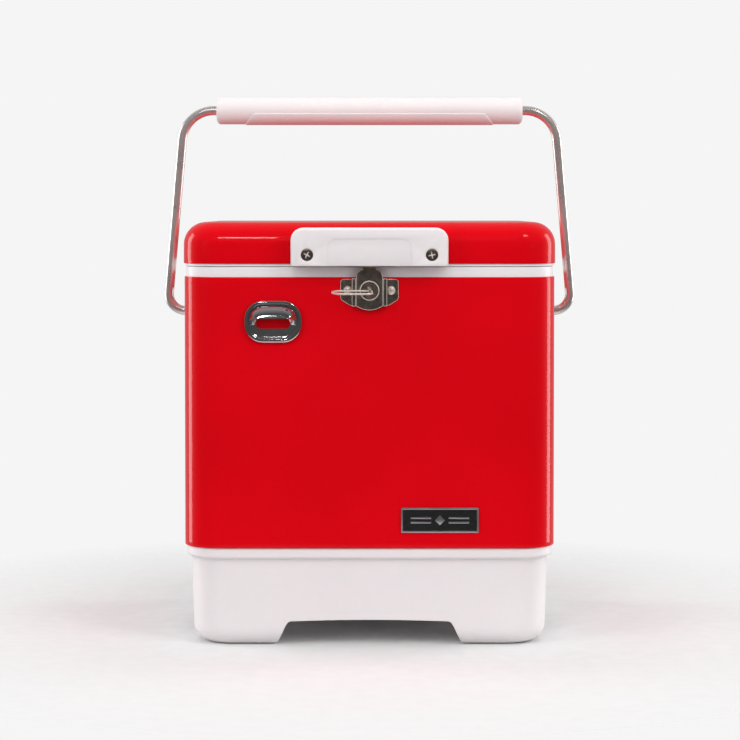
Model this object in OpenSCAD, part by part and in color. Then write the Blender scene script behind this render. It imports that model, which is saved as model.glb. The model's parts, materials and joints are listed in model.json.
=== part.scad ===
// Steel-belted picnic cooler: foam-filled chest with a hinged lid, a swinging bail handle, a turn-lock
// hasp and a wall bottle opener. Millimetres, +Z up, front towards -Y, floor at z = 0.

/* [Body] */
// Width of the steel belt
belt_w = 345; // [330:1:360]
// Depth of the steel belt
belt_d = 280; // [260:1:300]
// Height of the belt's lower edge
belt_z0 = 92; // [86:1:98]
// Height of the belt's upper edge
belt_z1 = 342.5; // [338:0.5:344]
// Plan radius of the belt's corners
belt_r = 35; // [30:1:40]
// Thickness of the belt and lid steel
steel_t = 0.8; // [0.6:0.1:1]
// Width inside the tub
tub_w = 288; // [266:1:292]
// Depth inside the tub
tub_d = 224; // [200:1:228]
// Height of the tub's floor
tub_floor_z = 53; // [46:1:66]
// Wall thickness of the moulded plastic
plastic_t = 2.5; // [2:0.1:3]

/* [Base] */
// Width of the base wall at its top
base_w = 332.5; // [322:0.5:338]
// Draft of the base wall on each side
base_draft = 1.5; // [1:0.5:4]
// Radius of the base's bottom edge
base_edge_r = 18; // [12:1:20]
// Half-width of the front arch at the floor
arch_half_w = 89; // [80:1:95]
// Height of the arches at their middle
arch_h = 24.6; // [20:0.2:26]

/* [Lid] */
// Width of the lid
lid_w = 346.5; // [346:0.5:351]
// Depth of the lid
lid_d = 282; // [281:0.5:286]
// Height of the lid shell's lower edge
lid_z0 = 354.6; // [354:0.1:355]
// Height of the lid's top
lid_z1 = 393; // [388:1:394]
// Radius of the lid's top edge
lid_edge_r = 21; // [18:1:22]

/* [Lift handle] */
// Width of the lift handle
lift_w = 144; // [140:1:150]
// How far the lift handle stands off the lid
lift_out = 15; // [14:0.5:16]

/* [Bail] */
// Diameter of the bail rod
rod_d = 9; // [8:0.5:9.5]
// Height of the bail's pivot
pivot_z = 305.7; // [302:0.1:308]
// Distance from the pivot to the grip's centre
bail_h = 195.3; // [194:0.1:198]
// Diameter of the grip
grip_d = 27; // [25:0.5:27]
// Length of the grip
grip_l = 298; // [290:1:300]

/* [Lid hinge] */
// Distance of the hinge axis behind the middle of the body
hinge_y = 150; // [149:0.5:152]
// Height of the hinge axis
hinge_z = 364; // [363:0.5:366]
// Distance of each hinge from the centre line
hinge_x = 82; // [70:1:90]

/* [Turn lock] */
// Height of the turn knob's axis
lock_z = 330.3; // [329:0.1:331]
// Width of the hasp flap
flap_w = 24.3; // [22:0.1:24.5]

/* [Hidden] */
$fn = 48;
eps = 0.01;
run_fit = 0.05;                       // radial clearance of every pin and shaft

mid_y = 9;                            // the body's mid-depth, so that the origin is under the middle
front_y = -belt_d / 2;                // all y values below are measured from the body's mid-depth
side_x = belt_w / 2;
rim_z = 352;                          // top of the tub's rim
rim_inset = 1.5;                      // how far the plastic rims stand inside the belt
rim_w = belt_w - 2 * rim_inset;
rim_d = belt_d - 2 * rim_inset;
rim_r = belt_r - rim_inset;
collar_gap = 0.2;                     // between a plastic collar and the steel around it
belt_in = 2 * steel_t;
tub_r = 24;
skirt_z = 334;                        // lower edge of the tub's outer skirt
lip_z = 82.3;                         // lower edge of the base's lip
base_d = belt_d - (belt_w - base_w);
base_r = 31;
under_z = 28;                         // top of the base's raised underside
wall_t = 3;                           // wall of the base
foam_gap = 0.2;
lid_r = belt_r + 1;
liner_z = 352.3;                      // underside of the lid liner's lip
plug_z = 342;
plug_gap = 3;
lift_z0 = 353.2;
lift_z1 = 388;
lift_r = 11.5;
lift_y = -lid_d / 2 - lift_out;
lift_screw_x = 57;
lift_screw_z = 363.2;
leg_x0 = 196.2;                       // the bail's leg beside the pivot
leg_x1 = 183.1;                       // and at the grip
bend_top = 31;
bend_bottom = 16;
rod_end_x = 163.5;
core_r = rod_d / 2 - 0.3;              // the rod inside the grip
boss_out = 7.4;                       // how far the pivot boss stands off the belt
bush_r = 6.6;
cup_r = 11;
cup_x = 158.5;
leaf_t = 1.5;
knuckle_r = 4.5;
hinge_pin_r = 2;
leaf_w = 34;
hasp_y = front_y - 5;
hasp_z = 353.5;
hasp_pin_r = 1;
hasp_knuckle_r = 2;
neck_half = 6.8;                      // half-width of the flap's neck and knuckle
mount_knuckle_w = 2.5;
mount_knuckle_x = neck_half + 0.3 + mount_knuckle_w / 2;
catch_t = 1.2;
flap_y = front_y - 4.1;               // back of the flap
flap_t = 1.5;
knob_r = 9.4;
knob_shaft_r = 4;
eye_y = front_y - 11;
eye_r = 2.3;
ring_wire_r = 1;
opener_x = -88.6;
opener_z = 301.6;
opener_w = 53.3;
opener_h = 39.2;
opener_r = 17.5;
badge_x = 64.9;
badge_z = 118.5;
badge_w = 71.6;
badge_h = 23.1;
catch_screw_x = 19.7;
latch_tilt = 6;                       // droop of the ring at rest

// ---- shared shapes ----

// A rectangle with round corners, exact at any size.
module round_rect(w, d, r) {
    square([w - 2 * r, d], center = true);
    square([w, d - 2 * r], center = true);
    for (x = [-1, 1], y = [-1, 1])
        translate([x * (w / 2 - r), y * (d / 2 - r)]) circle(r);
}

module slab(w, d, r, z0, z1) {
    translate([0, 0, z0]) linear_extrude(z1 - z0) round_rect(w, d, r);
}

// A rounded rectangular tube.
module sleeve(w, d, r, t, z0, z1) {
    difference() {
        slab(w, d, r, z0, z1);
        slab(w - 2 * t, d - 2 * t, r - t, z0 - 1, z1 + 1);
    }
}

// A cylinder along X, from x0 to x1.
module rod_x(r, x0, x1) {
    translate([x0, 0, 0]) rotate([0, 90, 0]) cylinder(r = r, h = x1 - x0);
}

// A cylinder along Y, from y0 to y1.
module rod_y(r, y0, y1) {
    translate([0, y1, 0]) rotate([90, 0, 0]) cylinder(r = r, h = y1 - y0);
}

// A shape drawn in X and Z, given thickness between y0 and y1.
module plate_y(y0, y1) {
    translate([0, y1, 0]) rotate([90, 0, 0]) linear_extrude(y1 - y0) children();
}

// A shape drawn in Y and Z, given thickness between x0 and x1.
module plate_x(x0, x1) {
    translate([x0, 0, 0]) rotate([90, 0, 90]) linear_extrude(x1 - x0) children();
}

module both_sides() {
    children();
    mirror([1, 0, 0]) children();
}

// A pan-head screw that points along +Y, its head's underside at y0.
module pan_screw_y(y0, r, h, shank_r, shank_l) {
    difference() {
        union() {
            rod_y(r, y0 - h, y0);
            rod_y(shank_r, y0 - eps, y0 + shank_l);
        }
        for (a = [0, 90]) rotate([0, a, 0])
            translate([-r * 0.6, y0 - h - 1, -0.5]) cube([r * 1.2, 1 + h * 0.6, 1]);
    }
}

// ---- the body ----

// The outside of the base: a lip, then a drafted wall that rolls under at the floor.
module base_outside() {
    slab(rim_w, rim_d, rim_r, lip_z, belt_z0);
    hull() {
        translate([0, 0, lip_z]) linear_extrude(eps) round_rect(base_w, base_d, base_r);
        for (a = [0:15:90]) {
            inset = base_draft + base_edge_r * (1 - cos(a));
            translate([0, 0, base_edge_r * (1 - sin(a))]) linear_extrude(eps)
                round_rect(base_w - 2 * inset, base_d - 2 * inset, base_r - inset / 2);
        }
    }
}

// An arch under the base, drawn with its middle on the origin: S-shaped ends and a crowned top.
function arch_points(half, h) = let (run = 15.7, crown = 1.4, shoulder = h - crown) [
    [-half, -1],
    for (t = [0:0.2:1]) [-half + run * t, shoulder * (1 - cos(180 * t)) / 2],
    for (t = [-0.75:0.25:0.75]) [(half - run) * t, shoulder + crown * (1 - t * t)],
    for (t = [1:-0.2:0]) [half - run * t, shoulder * (1 - cos(180 * t)) / 2],
    [half, -1]
];

module base_arches(grow) {
    half = arch_half_w + grow;
    side_half = half - (base_w - base_d) / 2;
    plate_y(-belt_d, belt_d) polygon(arch_points(half, arch_h + grow));
    plate_x(-belt_w, belt_w) polygon(arch_points(side_half, arch_h + grow));
}

module base_shell() {
    color("white") {
        difference() {
            base_outside();
            base_arches(0);
            difference() {
                slab(base_w - 2 * base_draft - 2 * wall_t, base_d - 2 * base_draft - 2 * wall_t,
                     base_r - base_draft - wall_t, base_edge_r, belt_z0 + 1);
                translate([0, 0, base_edge_r - 1])
                    cube([belt_w, belt_d, 2 * (under_z - base_edge_r + 1)], center = true);
            }
            for (x = [-1, 1], y = [-1, 1])
                translate([x * (base_w / 2 - 42), y * (base_d / 2 - 42), wall_t])
                    cylinder(r = 20, h = under_z + 1);
        }
        difference() {
            slab(belt_w - belt_in - 2 * collar_gap, belt_d - belt_in - 2 * collar_gap,
                 belt_r - steel_t - collar_gap, belt_z0 - eps, belt_z0 + 8);
            slab(base_w - 4 * wall_t, base_d - 4 * wall_t, base_r - 2 * wall_t, belt_z0 - 2, belt_z0 + 9);
        }
    }
}

module pivot_hole() {
    translate([0, 0, pivot_z]) rod_x(cup_r + 0.1, -side_x - 1, side_x + 1);
}

module steel_belt() {
    seam_w = 16;
    color("crimson") difference() {
        union() {
            sleeve(belt_w, belt_d, belt_r, steel_t, belt_z0, belt_z1);
            translate([-seam_w / 2, belt_d / 2 - eps, belt_z0]) cube([seam_w, steel_t, belt_z1 - belt_z0]);
        }
        pivot_hole();
        for (p = pivot_screws()) translate([0, p[0], p[1]]) rod_x(1.9, -side_x - 1, side_x + 1);
        for (x = [-1, 1]) translate([x * catch_screw_x, 0, lock_z]) rod_y(1.9, front_y - 1, front_y + 2);
        for (x = hinge_screws_x(body_leaf_screw_x))
            translate([x, 0, body_leaf_screw_z]) rod_y(1.9, -front_y - 2, -front_y + 2);
        for (z = rivets_z()) translate([0, 0, z]) rod_y(1.8, -front_y - 2, -front_y + 2);
        for (x = [-1, 1]) translate([opener_x + x * opener_stud_x, 0, opener_z])
            rod_y(1.9, front_y - 1, front_y + 2);
    }
}

function rivets_z() = [for (i = [0:4]) belt_z0 + 16 + i * (belt_z1 - belt_z0 - 32) / 4];

module belt_rivets() {
    color("silver") for (z = rivets_z()) translate([0, -front_y + steel_t, z]) {
        rod_y(1.7, -2.6, eps);
        difference() {
            translate([0, 0, 0]) sphere(3.2);
            translate([-4, -8, -4]) cube([8, 8, 8]);
            translate([-4, 1.3, -4]) cube([8, 8, 8]);
        }
    }
}

// The tub, its flat rim and the skirt that drops inside the belt.
module inner_liner() {
    t = plastic_t;
    color("white") difference() {
        union() {
            slab(tub_w + 2 * t, tub_d + 2 * t, tub_r + t, tub_floor_z - t, rim_z);
            slab(rim_w, rim_d, rim_r, rim_z - t, rim_z);
            sleeve(rim_w, rim_d, rim_r, t, belt_z1 - eps, rim_z);
            sleeve(belt_w - belt_in - 2 * collar_gap, belt_d - belt_in - 2 * collar_gap,
                   belt_r - steel_t - collar_gap, t, skirt_z, belt_z1);
        }
        slab(tub_w, tub_d, tub_r, tub_floor_z, rim_z + 1);
    }
}

module body_foam() {
    g = foam_gap;
    t = plastic_t;
    in_w = belt_w - belt_in - 2 * g;
    in_d = belt_d - belt_in - 2 * g;
    color("khaki") difference() {
        union() {
            slab(base_w - 4 * wall_t - 2 * g, base_d - 4 * wall_t - 2 * g, base_r - 2 * wall_t - g,
                 under_z + g, belt_z0 + 8 + g);
            slab(in_w, in_d, belt_r - steel_t - g, belt_z0 + 8 + g, skirt_z - g);
            slab(rim_w - 2 * t - 2 * g, rim_d - 2 * t - 2 * g, rim_r - t,
                 skirt_z - g, rim_z - t - g);
        }
        slab(tub_w + 2 * t + 2 * g, tub_d + 2 * t + 2 * g, tub_r + t + g, tub_floor_z - t - g, rim_z);
        for (s = [-1, 1]) translate([s * side_x, 0, pivot_z])
            rod_x(cup_r + g, -abs(side_x - cup_x) - g, abs(side_x - cup_x) + g);
        for (p = pivot_screws(), s = [-1, 1]) translate([s * side_x, p[0], p[1]]) rod_x(1.9, -14, 14);
        for (x = [-1, 1]) translate([x * catch_screw_x, 0, lock_z]) rod_y(1.9, front_y, front_y + 14);
        for (x = hinge_screws_x(body_leaf_screw_x))
            translate([x, 0, body_leaf_screw_z]) rod_y(1.9, -front_y - 14, -front_y);
        for (z = rivets_z()) translate([0, 0, z]) rod_y(1.9, -front_y - 4, -front_y);
        for (x = [-1, 1]) translate([opener_x + x * opener_stud_x, 0, opener_z])
            rod_y(4.2, front_y, front_y + 10);
    }
}

// ---- the bottle opener and badge ----

opener_stud_x = 19;

// An oval dished plate: a rolled rim, a domed hood over the mouth, and a sunk bowl under it.
module bottle_opener() {
    rim_out = 4;
    hood_out = 12;
    floor_t = 1.2;
    color("gainsboro") translate([opener_x, front_y, opener_z]) difference() {
        union() {
            plate_y(-rim_out, 0) round_rect(opener_w, opener_h, opener_r);
            hull() {
                plate_y(-rim_out, -rim_out + 1) translate([0, 8.2]) round_rect(43, 14, 6.9);
                plate_y(-hood_out, -hood_out + 1) translate([0, 6]) round_rect(31, 5, 2.4);
            }
        }
        hull() {
            plate_y(-rim_out - 0.1, -rim_out) translate([0, -3.5]) round_rect(43, 27, 12);
            plate_y(-floor_t - 0.1, -floor_t) translate([0, -4]) round_rect(34, 20, 9);
        }
        hull() {
            plate_y(-hood_out + 1.5, -hood_out + 1.6) translate([0, 1.5]) square([27, 9], center = true);
            plate_y(-floor_t - 0.1, -floor_t) translate([0, 2.5]) square([33, 13], center = true);
        }
    }
}

// Studs on the opener's back, with nuts behind the belt.
module opener_studs() {
    color("silver") for (x = [-1, 1]) translate([opener_x + x * opener_stud_x, 0, opener_z]) {
        rod_y(1.7, front_y, front_y + 8);
        translate([0, front_y + 3.4, 0]) rotate([90, 0, 0]) cylinder(r = 3.6, h = 2.4, $fn = 6);
    }
}

module badge_plate() {
    rim = 1.8;
    color("silver") translate([badge_x, 0, badge_z]) difference() {
        plate_y(front_y - 1.8, front_y) round_rect(badge_w, badge_h, 1);
        plate_y(front_y - 3, front_y - 0.8) round_rect(badge_w - 2 * rim, badge_h - 2 * rim, 0.5);
    }
}

module badge_field() {
    rim = 1.8;
    color("black") translate([badge_x, 0, badge_z])
        plate_y(front_y - 1.3, front_y - 0.8) round_rect(badge_w - 2 * rim, badge_h - 2 * rim, 0.5);
}

// A plain ornament in place of any lettering: a lozenge between two pairs of bars.
module badge_ornament() {
    bar_w = 19;
    color("silver") translate([badge_x, 0, badge_z]) plate_y(front_y - 1.8, front_y - 1.3) {
        rotate(45) square(7, center = true);
        for (x = [-1, 1], z = [-1, 1]) translate([x * (bar_w / 2 + 8), z * 2.2])
            square([bar_w, 1.8], center = true);
    }
}

// ---- the catch on the body ----

module wing_outline() {
    polygon([[16.2, 316.6], [17.5, 316.6], [26.7, 322], [26.7, 338.3], [24.2, 340.8], [16.2, 340.8]]);
}

// Two wings and a channel: the flap lies in the channel, and the tongue turns into the rails' windows.
module catch_plate() {
    rail_in = 12.5;
    rail_out = 16.2;
    rail_h = 6;
    z0 = 316;
    z1 = 341.4;
    color("dimgray") difference() {
        union() {
            plate_y(front_y - catch_t, front_y) translate([0, (z0 + z1) / 2])
                square([2 * rail_out, z1 - z0], center = true);
            both_sides() {
                plate_y(front_y - catch_t, front_y) wing_outline();
                translate([rail_in, front_y - rail_h, z0]) cube([rail_out - rail_in, rail_h, z1 - z0]);
            }
        }
        both_sides() {
            translate([rail_in - 1, front_y - 4.1, lock_z - 8.5]) cube([rail_out - rail_in + 2, 2.9, 17]);
            translate([catch_screw_x, 0, lock_z]) rod_y(1.9, front_y - 3, front_y + 1);
        }
    }
}

module catch_screws() {
    color("silver") both_sides() translate([catch_screw_x, 0, lock_z])
        pan_screw_y(front_y - catch_t, 3.4, 2.4, 1.7, 12);
}

// ---- the bail's pivots on the body ----

pivot_plate_w = 44;
pivot_plate_h = 40;
function pivot_screws() = [for (y = [-1, 1]) [y * (pivot_plate_w / 2 - 6), pivot_z]];

// A moulded plate with a boss for the bush and a cup that keeps the foam off the rod's end.
module pivot_plate(side) {
    plate_t = 2.5;
    color("silver") difference() {
        union() {
            plate_x(side_x, side_x + plate_t) translate([0, pivot_z])
                round_rect(pivot_plate_w, pivot_plate_h, 12);
            translate([0, 0, pivot_z]) rod_x(cup_r, cup_x, side_x + 1);
            translate([0, 0, pivot_z]) rod_x(9.5, side_x, side_x + boss_out);
        }
        translate([0, 0, pivot_z]) {
            rod_x(bush_r + run_fit, cup_x, side_x + boss_out + 1);
            rod_x(cup_r - 1.4, cup_x + 1.5, side_x - 6);
        }
        translate([0, 0, pivot_z]) rod_x(cup_r + 1, cup_x - 2, cup_x);
        for (p = pivot_screws()) translate([0, p[0], p[1]]) rod_x(1.9, side_x - 2, side_x + 5);
    }
    color("silver") translate([0, 0, pivot_z]) rod_x(bush_r + 1, cup_x, cup_x + 1.5);
}

module pivot_plate_left() { mirror([1, 0, 0]) pivot_plate(); }
module pivot_plate_right() { pivot_plate(); }

module pivot_plate_screws() {
    color("silver") both_sides() for (p = pivot_screws())
        translate([side_x + 2.5, p[0], p[1]]) rotate([0, 0, 90]) pan_screw_y(0, 3.2, 2, 1.7, 12);
}

// A nylon bush: it turns in the boss, and the rod turns in it.
module bail_bush() {
    color("ivory") translate([0, 0, pivot_z]) difference() {
        union() {
            rod_x(bush_r, side_x - 7, side_x + boss_out);
            rod_x(bush_r + 2.4, side_x - 8.5, side_x - 6.2);
        }
        rod_x(rod_d / 2 + run_fit, side_x - 10, side_x + boss_out + 1);
    }
}

module bail_bush_left() { mirror([1, 0, 0]) bail_bush(); }
module bail_bush_right() { bail_bush(); }

// ---- the bail ----

// Half of the rod: a straight run under the grip, a bend, a splayed leg, a bend, and the pivot end.
top_x = leg_x1 - bend_top;
low_x = leg_x0 - bend_bottom;
// Each bend is an arc about a centre, and the leg is their common tangent.
low_c = [low_x, pivot_z + bend_bottom];
top_c = [top_x, pivot_z + bail_h - bend_top];

// An arc of the rod about the origin, in the X-Z plane, swept up from the positive X axis.
module rod_arc(r, sweep) {
    rotate([90, 0, 0]) rotate_extrude(angle = sweep) translate([r, 0]) circle(rod_d / 2);
}

// The tangent common to both bends leans by lean degrees from the vertical.
gap_c = top_c - low_c;
lean = atan2(-gap_c[0], gap_c[1]) - asin((bend_top - bend_bottom) / norm(gap_c));
leg_l = sqrt(pow(norm(gap_c), 2) - pow(bend_top - bend_bottom, 2));

// One side of the rod, drawn about the middle of the top bend and leaning with the leg.
// The straight runs are a hair thinner than the bends, and reach a little way into them.
module bail_side() {
    foot = low_x - rod_end_x + 2.8;
    run_r = rod_d / 2 - 0.05;
    lap = 1;
    rod_arc(bend_top, 90 - lean);
    translate([bend_top, 0, -leg_l - lap]) cylinder(r = run_r, h = leg_l + 2 * lap);
    translate([bend_top - bend_bottom, 0, -leg_l]) {
        mirror([0, 0, 1]) rod_arc(bend_bottom, 90 + lean);
        rotate([0, 90 + lean, 0]) translate([bend_bottom, 0, -foot])
            cylinder(r = run_r, h = foot + lap);
    }
}

// The rod is a little thinner along the grip, where it is swaged for the mouldings.
module bail_rod() {
    color("silver") {
        translate([0, 0, pivot_z + bail_h]) rod_x(core_r, -top_x - 2, top_x + 2);
        both_sides() translate([top_c[0], 0, top_c[1]]) rotate([0, -lean, 0]) bail_side();
    }
}

// Push-on washers that hold the rod's ends in the bushes.
module bail_retainers() {
    color("dimgray") both_sides() translate([0, 0, pivot_z]) difference() {
        rod_x(7.5, rod_end_x - 1.2, rod_end_x);
        rod_x(rod_d / 2, rod_end_x - 2, rod_end_x + 1);
    }
}

// The panel let into the grip's underside, with slanted ends.
module insert_outline(grow) {
    top = -3 + grow;
    half = 112 + grow;
    low = -grip_d;
    polygon([[-half, top], [half, top], [half + 9, low], [-half - 9, low]]);
}

module grip_solid() {
    r = grip_d / 2;
    rotate([0, 90, 0]) rotate_extrude() {
        square([r, grip_l / 2 - 4]);
        square([r - 4, grip_l / 2]);
        translate([r - 4, grip_l / 2 - 4]) circle(4);
    }
}

module grip_body() {
    grip_solid();
    mirror([1, 0, 0]) grip_solid();
}

module grip_shell() {
    color("white") translate([0, 0, pivot_z + bail_h]) difference() {
        grip_body();
        rod_x(rod_d / 2, -grip_l, grip_l);
        plate_y(-grip_d, grip_d) insert_outline(0.3);
    }
}

module grip_insert() {
    color("white") translate([0, 0, pivot_z + bail_h]) intersection() {
        difference() {
            grip_body();
            rod_x(rod_d / 2 + run_fit, -grip_l, grip_l);
        }
        plate_y(-grip_d, grip_d) insert_outline(0);
    }
}

// ---- the lid ----

// The lid's edge in section, from x0 out to reach: a wall, a round shoulder and a flat top.
module lid_section(x0, reach, inset, z0) {
    r = lid_edge_r - inset;
    translate([x0, z0]) square([reach - x0, lid_z1 - lid_edge_r - z0]);
    translate([x0, z0]) square([reach - r - x0, lid_z1 - inset - z0]);
    translate([reach - r, lid_z1 - lid_edge_r]) intersection() {
        circle(r);
        square(r + 1);
    }
}

// The lid's outside, or with a positive inset the space that far inside it: a middle slab, two side
// slabs and four turned corners, which meet face to face.
module lid_solid(inset, z0) {
    cx = lid_w / 2 - lid_r;
    cy = lid_d / 2 - lid_r;
    reach = lid_r - inset;
    plate_x(-cx, cx) for (s = [0, 1]) mirror([s, 0]) lid_section(0, cy + reach, inset, z0);
    both_sides() {
        plate_y(-cy, cy) lid_section(cx, cx + reach, inset, z0);
        for (s = [0, 1]) mirror([0, s, 0]) translate([cx, cy, 0])
            rotate_extrude(angle = 90) lid_section(0, reach, inset, z0);
    }
}

module lid_holes(r) {
    for (x = [-1, 1]) translate([x * lift_screw_x, 0, lift_screw_z])
        rod_y(r, -lid_d / 2 - 2, -lid_d / 2 + 14);
    for (x = [-1, 1]) translate([x * hasp_rivet_x, 0, hasp_rivet_z]) rod_y(r, -lid_d / 2 - 2, -lid_d / 2 + 6);
    for (x = hinge_screws_x(lid_leaf_screw_x))
        translate([x, 0, lid_leaf_screw_z]) rod_y(r, lid_d / 2 - 14, lid_d / 2 + 2);
}

module lid_shell() {
    color("crimson") difference() {
        lid_solid(0, lid_z0);
        lid_solid(steel_t, lid_z0 - 1);
        lid_holes(1.9);
    }
}

// The plastic underside: a lip below the steel, a collar inside it, and a plug that fills the tub's mouth.
module lid_liner() {
    t = plastic_t;
    lip_w = lid_w - 3;
    lip_d = lid_d - 3;
    lip_r = lid_r - 1.5;
    plug_w = tub_w - 2 * plug_gap;
    plug_d = tub_d - 2 * plug_gap;
    plug_r = tub_r - plug_gap;
    color("white") difference() {
        union() {
            slab(lip_w, lip_d, lip_r, liner_z, lid_z0);
            slab(lip_w, lip_d, lip_r, lid_z0 - eps, lid_z0 + 4);
            slab(plug_w, plug_d, plug_r, plug_z, liner_z + 1);
        }
        slab(lip_w - 2 * t, lip_d - 2 * t, lip_r - t, lid_z0, lid_z0 + 5);
        slab(plug_w - 2 * t, plug_d - 2 * t, plug_r - t, plug_z + t, lid_z0 + 1);
    }
}

module lid_foam() {
    g = foam_gap;
    t = plastic_t;
    color("khaki") difference() {
        union() {
            slab(tub_w - 2 * plug_gap - 2 * t - 2 * g, tub_d - 2 * plug_gap - 2 * t - 2 * g,
                 tub_r - plug_gap - t - g, plug_z + t + g, lid_z0 + g + 0.1);
            intersection() {
                lid_solid(steel_t + g, lid_z0 + g);
                slab(lid_w - 3 - 2 * t - 2 * g, lid_d - 3 - 2 * t - 2 * g, lid_r - 1.5 - t - g,
                     lid_z0 + g, lid_z1);
            }
        }
        lid_holes(1.9);
    }
}

// ---- the lift handle ----

module lift_outline(inset) {
    w = lift_w - 2 * inset;
    z1 = lift_z1 - inset;
    r = lift_r - inset;
    translate([-w / 2, lift_z0]) square([w, z1 - r - lift_z0]);
    translate([-w / 2 + r, lift_z0]) square([w - 2 * r, z1 - lift_z0]);
    for (x = [-1, 1]) translate([x * (w / 2 - r), z1 - r]) circle(r);
}

module lift_handle() {
    wall = 3;
    panel_w = 77;
    edge = 2.5;
    color("white") difference() {
        union() {
            difference() {
                union() {
                    plate_y(lift_y + edge, -lid_d / 2 + 24) lift_outline(0);
                    plate_y(lift_y, lift_y + edge + eps) lift_outline(edge);
                }
                translate([0, 0, -1]) plate_y(lift_y + wall, -lid_d / 2 + 30) lift_outline(wall);
            }
            for (x = [-1, 1]) translate([x * lift_screw_x, 0, lift_screw_z])
                rod_y(6.4, lift_y + wall - eps, -lid_d / 2 + 1);
        }
        lid_solid(-eps, lid_z0 - 20);
        translate([-panel_w / 2, lift_y - 1, lift_z0 - 1]) cube([panel_w, 1.6, 378 - lift_z0 + 1]);
        for (x = [-1, 1]) translate([x * lift_screw_x, 0, lift_screw_z]) {
            rod_y(2.1, lift_y - 1, -lid_d / 2 + 2);
            translate([0, lift_y - eps, 0]) rotate([-90, 0, 0]) cylinder(r1 = 6, r2 = 2.1, h = 3.2);
        }
    }
}

// Countersunk cross-head screws.
module lift_handle_screws() {
    color("rosybrown") both_sides() translate([lift_screw_x, 0, lift_screw_z]) difference() {
        union() {
            translate([0, lift_y, 0]) rotate([-90, 0, 0]) cylinder(r1 = 5.85, r2 = 1.8, h = 3.2);
            rod_y(1.8, lift_y + 3, -lid_d / 2 + 12);
        }
        for (a = [0, 90]) rotate([0, a, 0]) translate([-2.6, lift_y - 1, -0.6]) cube([5.2, 2.8, 1.2]);
    }
}

// ---- the hasp ----

hasp_rivet_x = 5.5;
hasp_rivet_z = 366;

// A bracket on the lid's front, with two knuckles under the lift handle.
module hasp_mount() {
    t = 1.2;
    back_y = -lid_d / 2;
    color("dimgray") difference() {
        union() {
            plate_y(back_y - t, back_y) translate([0, 364]) round_rect(22, 15, 2);
            for (s = [-1, 1]) translate([s * mount_knuckle_x, hasp_y, 0]) {
                translate([-mount_knuckle_w / 2, 0, lid_z0]) cube([mount_knuckle_w, back_y - hasp_y, 5]);
                translate([0, 0, hasp_z]) rod_x(hasp_knuckle_r, -mount_knuckle_w / 2, mount_knuckle_w / 2);
            }
        }
        translate([0, hasp_y, hasp_z]) rod_x(hasp_pin_r, -15, 15);
        for (x = [-1, 1]) translate([x * hasp_rivet_x, 0, hasp_rivet_z]) rod_y(1.9, back_y - 3, back_y + 1);
    }
}

module hasp_mount_rivets() {
    back_y = -lid_d / 2;
    color("silver") for (x = [-1, 1]) translate([x * hasp_rivet_x, 0, hasp_rivet_z]) {
        rod_y(3, back_y - 2.4, back_y - 1.2);
        rod_y(1.7, back_y - 1.3, back_y + 4);
    }
}

module hasp_pin() {
    color("silver") translate([0, hasp_y, hasp_z]) rod_x(hasp_pin_r, -10, 10);
}

// Shoulders, straight sides and a bowed lower edge.
module flap_outline() {
    half = flap_w / 2;
    shoulder_z = 342.5;
    bow_r = 22.5;
    intersection() {
        translate([-half, 308]) square([flap_w, shoulder_z - 308]);
        translate([0, 312.3 + bow_r]) circle(bow_r, $fn = 96);
    }
    hull() {
        translate([0, 339]) circle(half);
        translate([-half, 332]) square([flap_w, 5]);
    }
    translate([-neck_half, 338]) square([2 * neck_half, hasp_z - 338]);
}

module hasp_flap() {
    color("dimgray") difference() {
        union() {
            plate_y(flap_y - flap_t, flap_y) flap_outline();
            translate([0, hasp_y, hasp_z]) rod_x(hasp_knuckle_r, -neck_half, neck_half);
        }
        translate([0, hasp_y, hasp_z]) rod_x(hasp_pin_r + run_fit, -12, 12);
        translate([0, 0, lock_z]) rod_y(knob_shaft_r + run_fit, flap_y - 5, flap_y + 5);
    }
}

// A disc with a raised rim, a finger lug with an eye for the ring, and a shaft through the flap.
module turn_knob() {
    disc_y = flap_y - flap_t - 0.1;
    lug_h = 8;
    color("dimgray") translate([0, 0, lock_z]) difference() {
        union() {
            rod_y(knob_r, disc_y - 1.5, disc_y);
            rod_y(knob_shaft_r, disc_y - eps, front_y - 3.8);
            hull() {
                translate([-0.8, disc_y - 1.5 - eps, -lug_h / 2]) cube([1.6, 1, lug_h]);
                translate([0, eye_y, 0]) rod_x(3.9, -0.8, 0.8);
            }
        }
        translate([0, eye_y, 0]) rod_x(eye_r, -5, 5);
        difference() {
            rod_y(knob_r - 1, disc_y - 2, disc_y - 1.1);
            rod_y(knob_r - 2, disc_y - 3, disc_y);
        }
    }
}

// The tongue on the back of the knob's shaft.
module lock_tongue() {
    color("dimgray") translate([0, 0, lock_z]) plate_y(front_y - 3.8, front_y - 1.5)
        round_rect(6, 28.4, 2.9);
}

// A loop of wire through the knob's eye: a straight side, two corners and a round end.
module pull_ring() {
    w = ring_wire_r;
    end_r = 10.5;
    corner = 4;
    x0 = -23.5;
    x1 = 2.4;
    color("silver") translate([0, eye_y, lock_z]) rotate([latch_tilt, 0, 0]) {
        rod_x(w, x0, x1 - corner);
        translate([0, -2 * end_r, 0]) rod_x(w, x0, x1 - corner);
        translate([x1, 0, 0]) rod_y(w, -2 * end_r + corner, -corner);
        translate([x0, -end_r, 0]) rotate([0, 0, 90]) rotate_extrude(angle = 180)
            translate([end_r, 0]) circle(w);
        translate([x1 - corner, -corner, 0]) rotate_extrude(angle = 90) translate([corner, 0]) circle(w);
        translate([x1 - corner, -2 * end_r + corner, 0]) rotate([0, 0, -90]) rotate_extrude(angle = 90)
            translate([corner, 0]) circle(w);
    }
}

// ---- the lid's hinges ----

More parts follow.
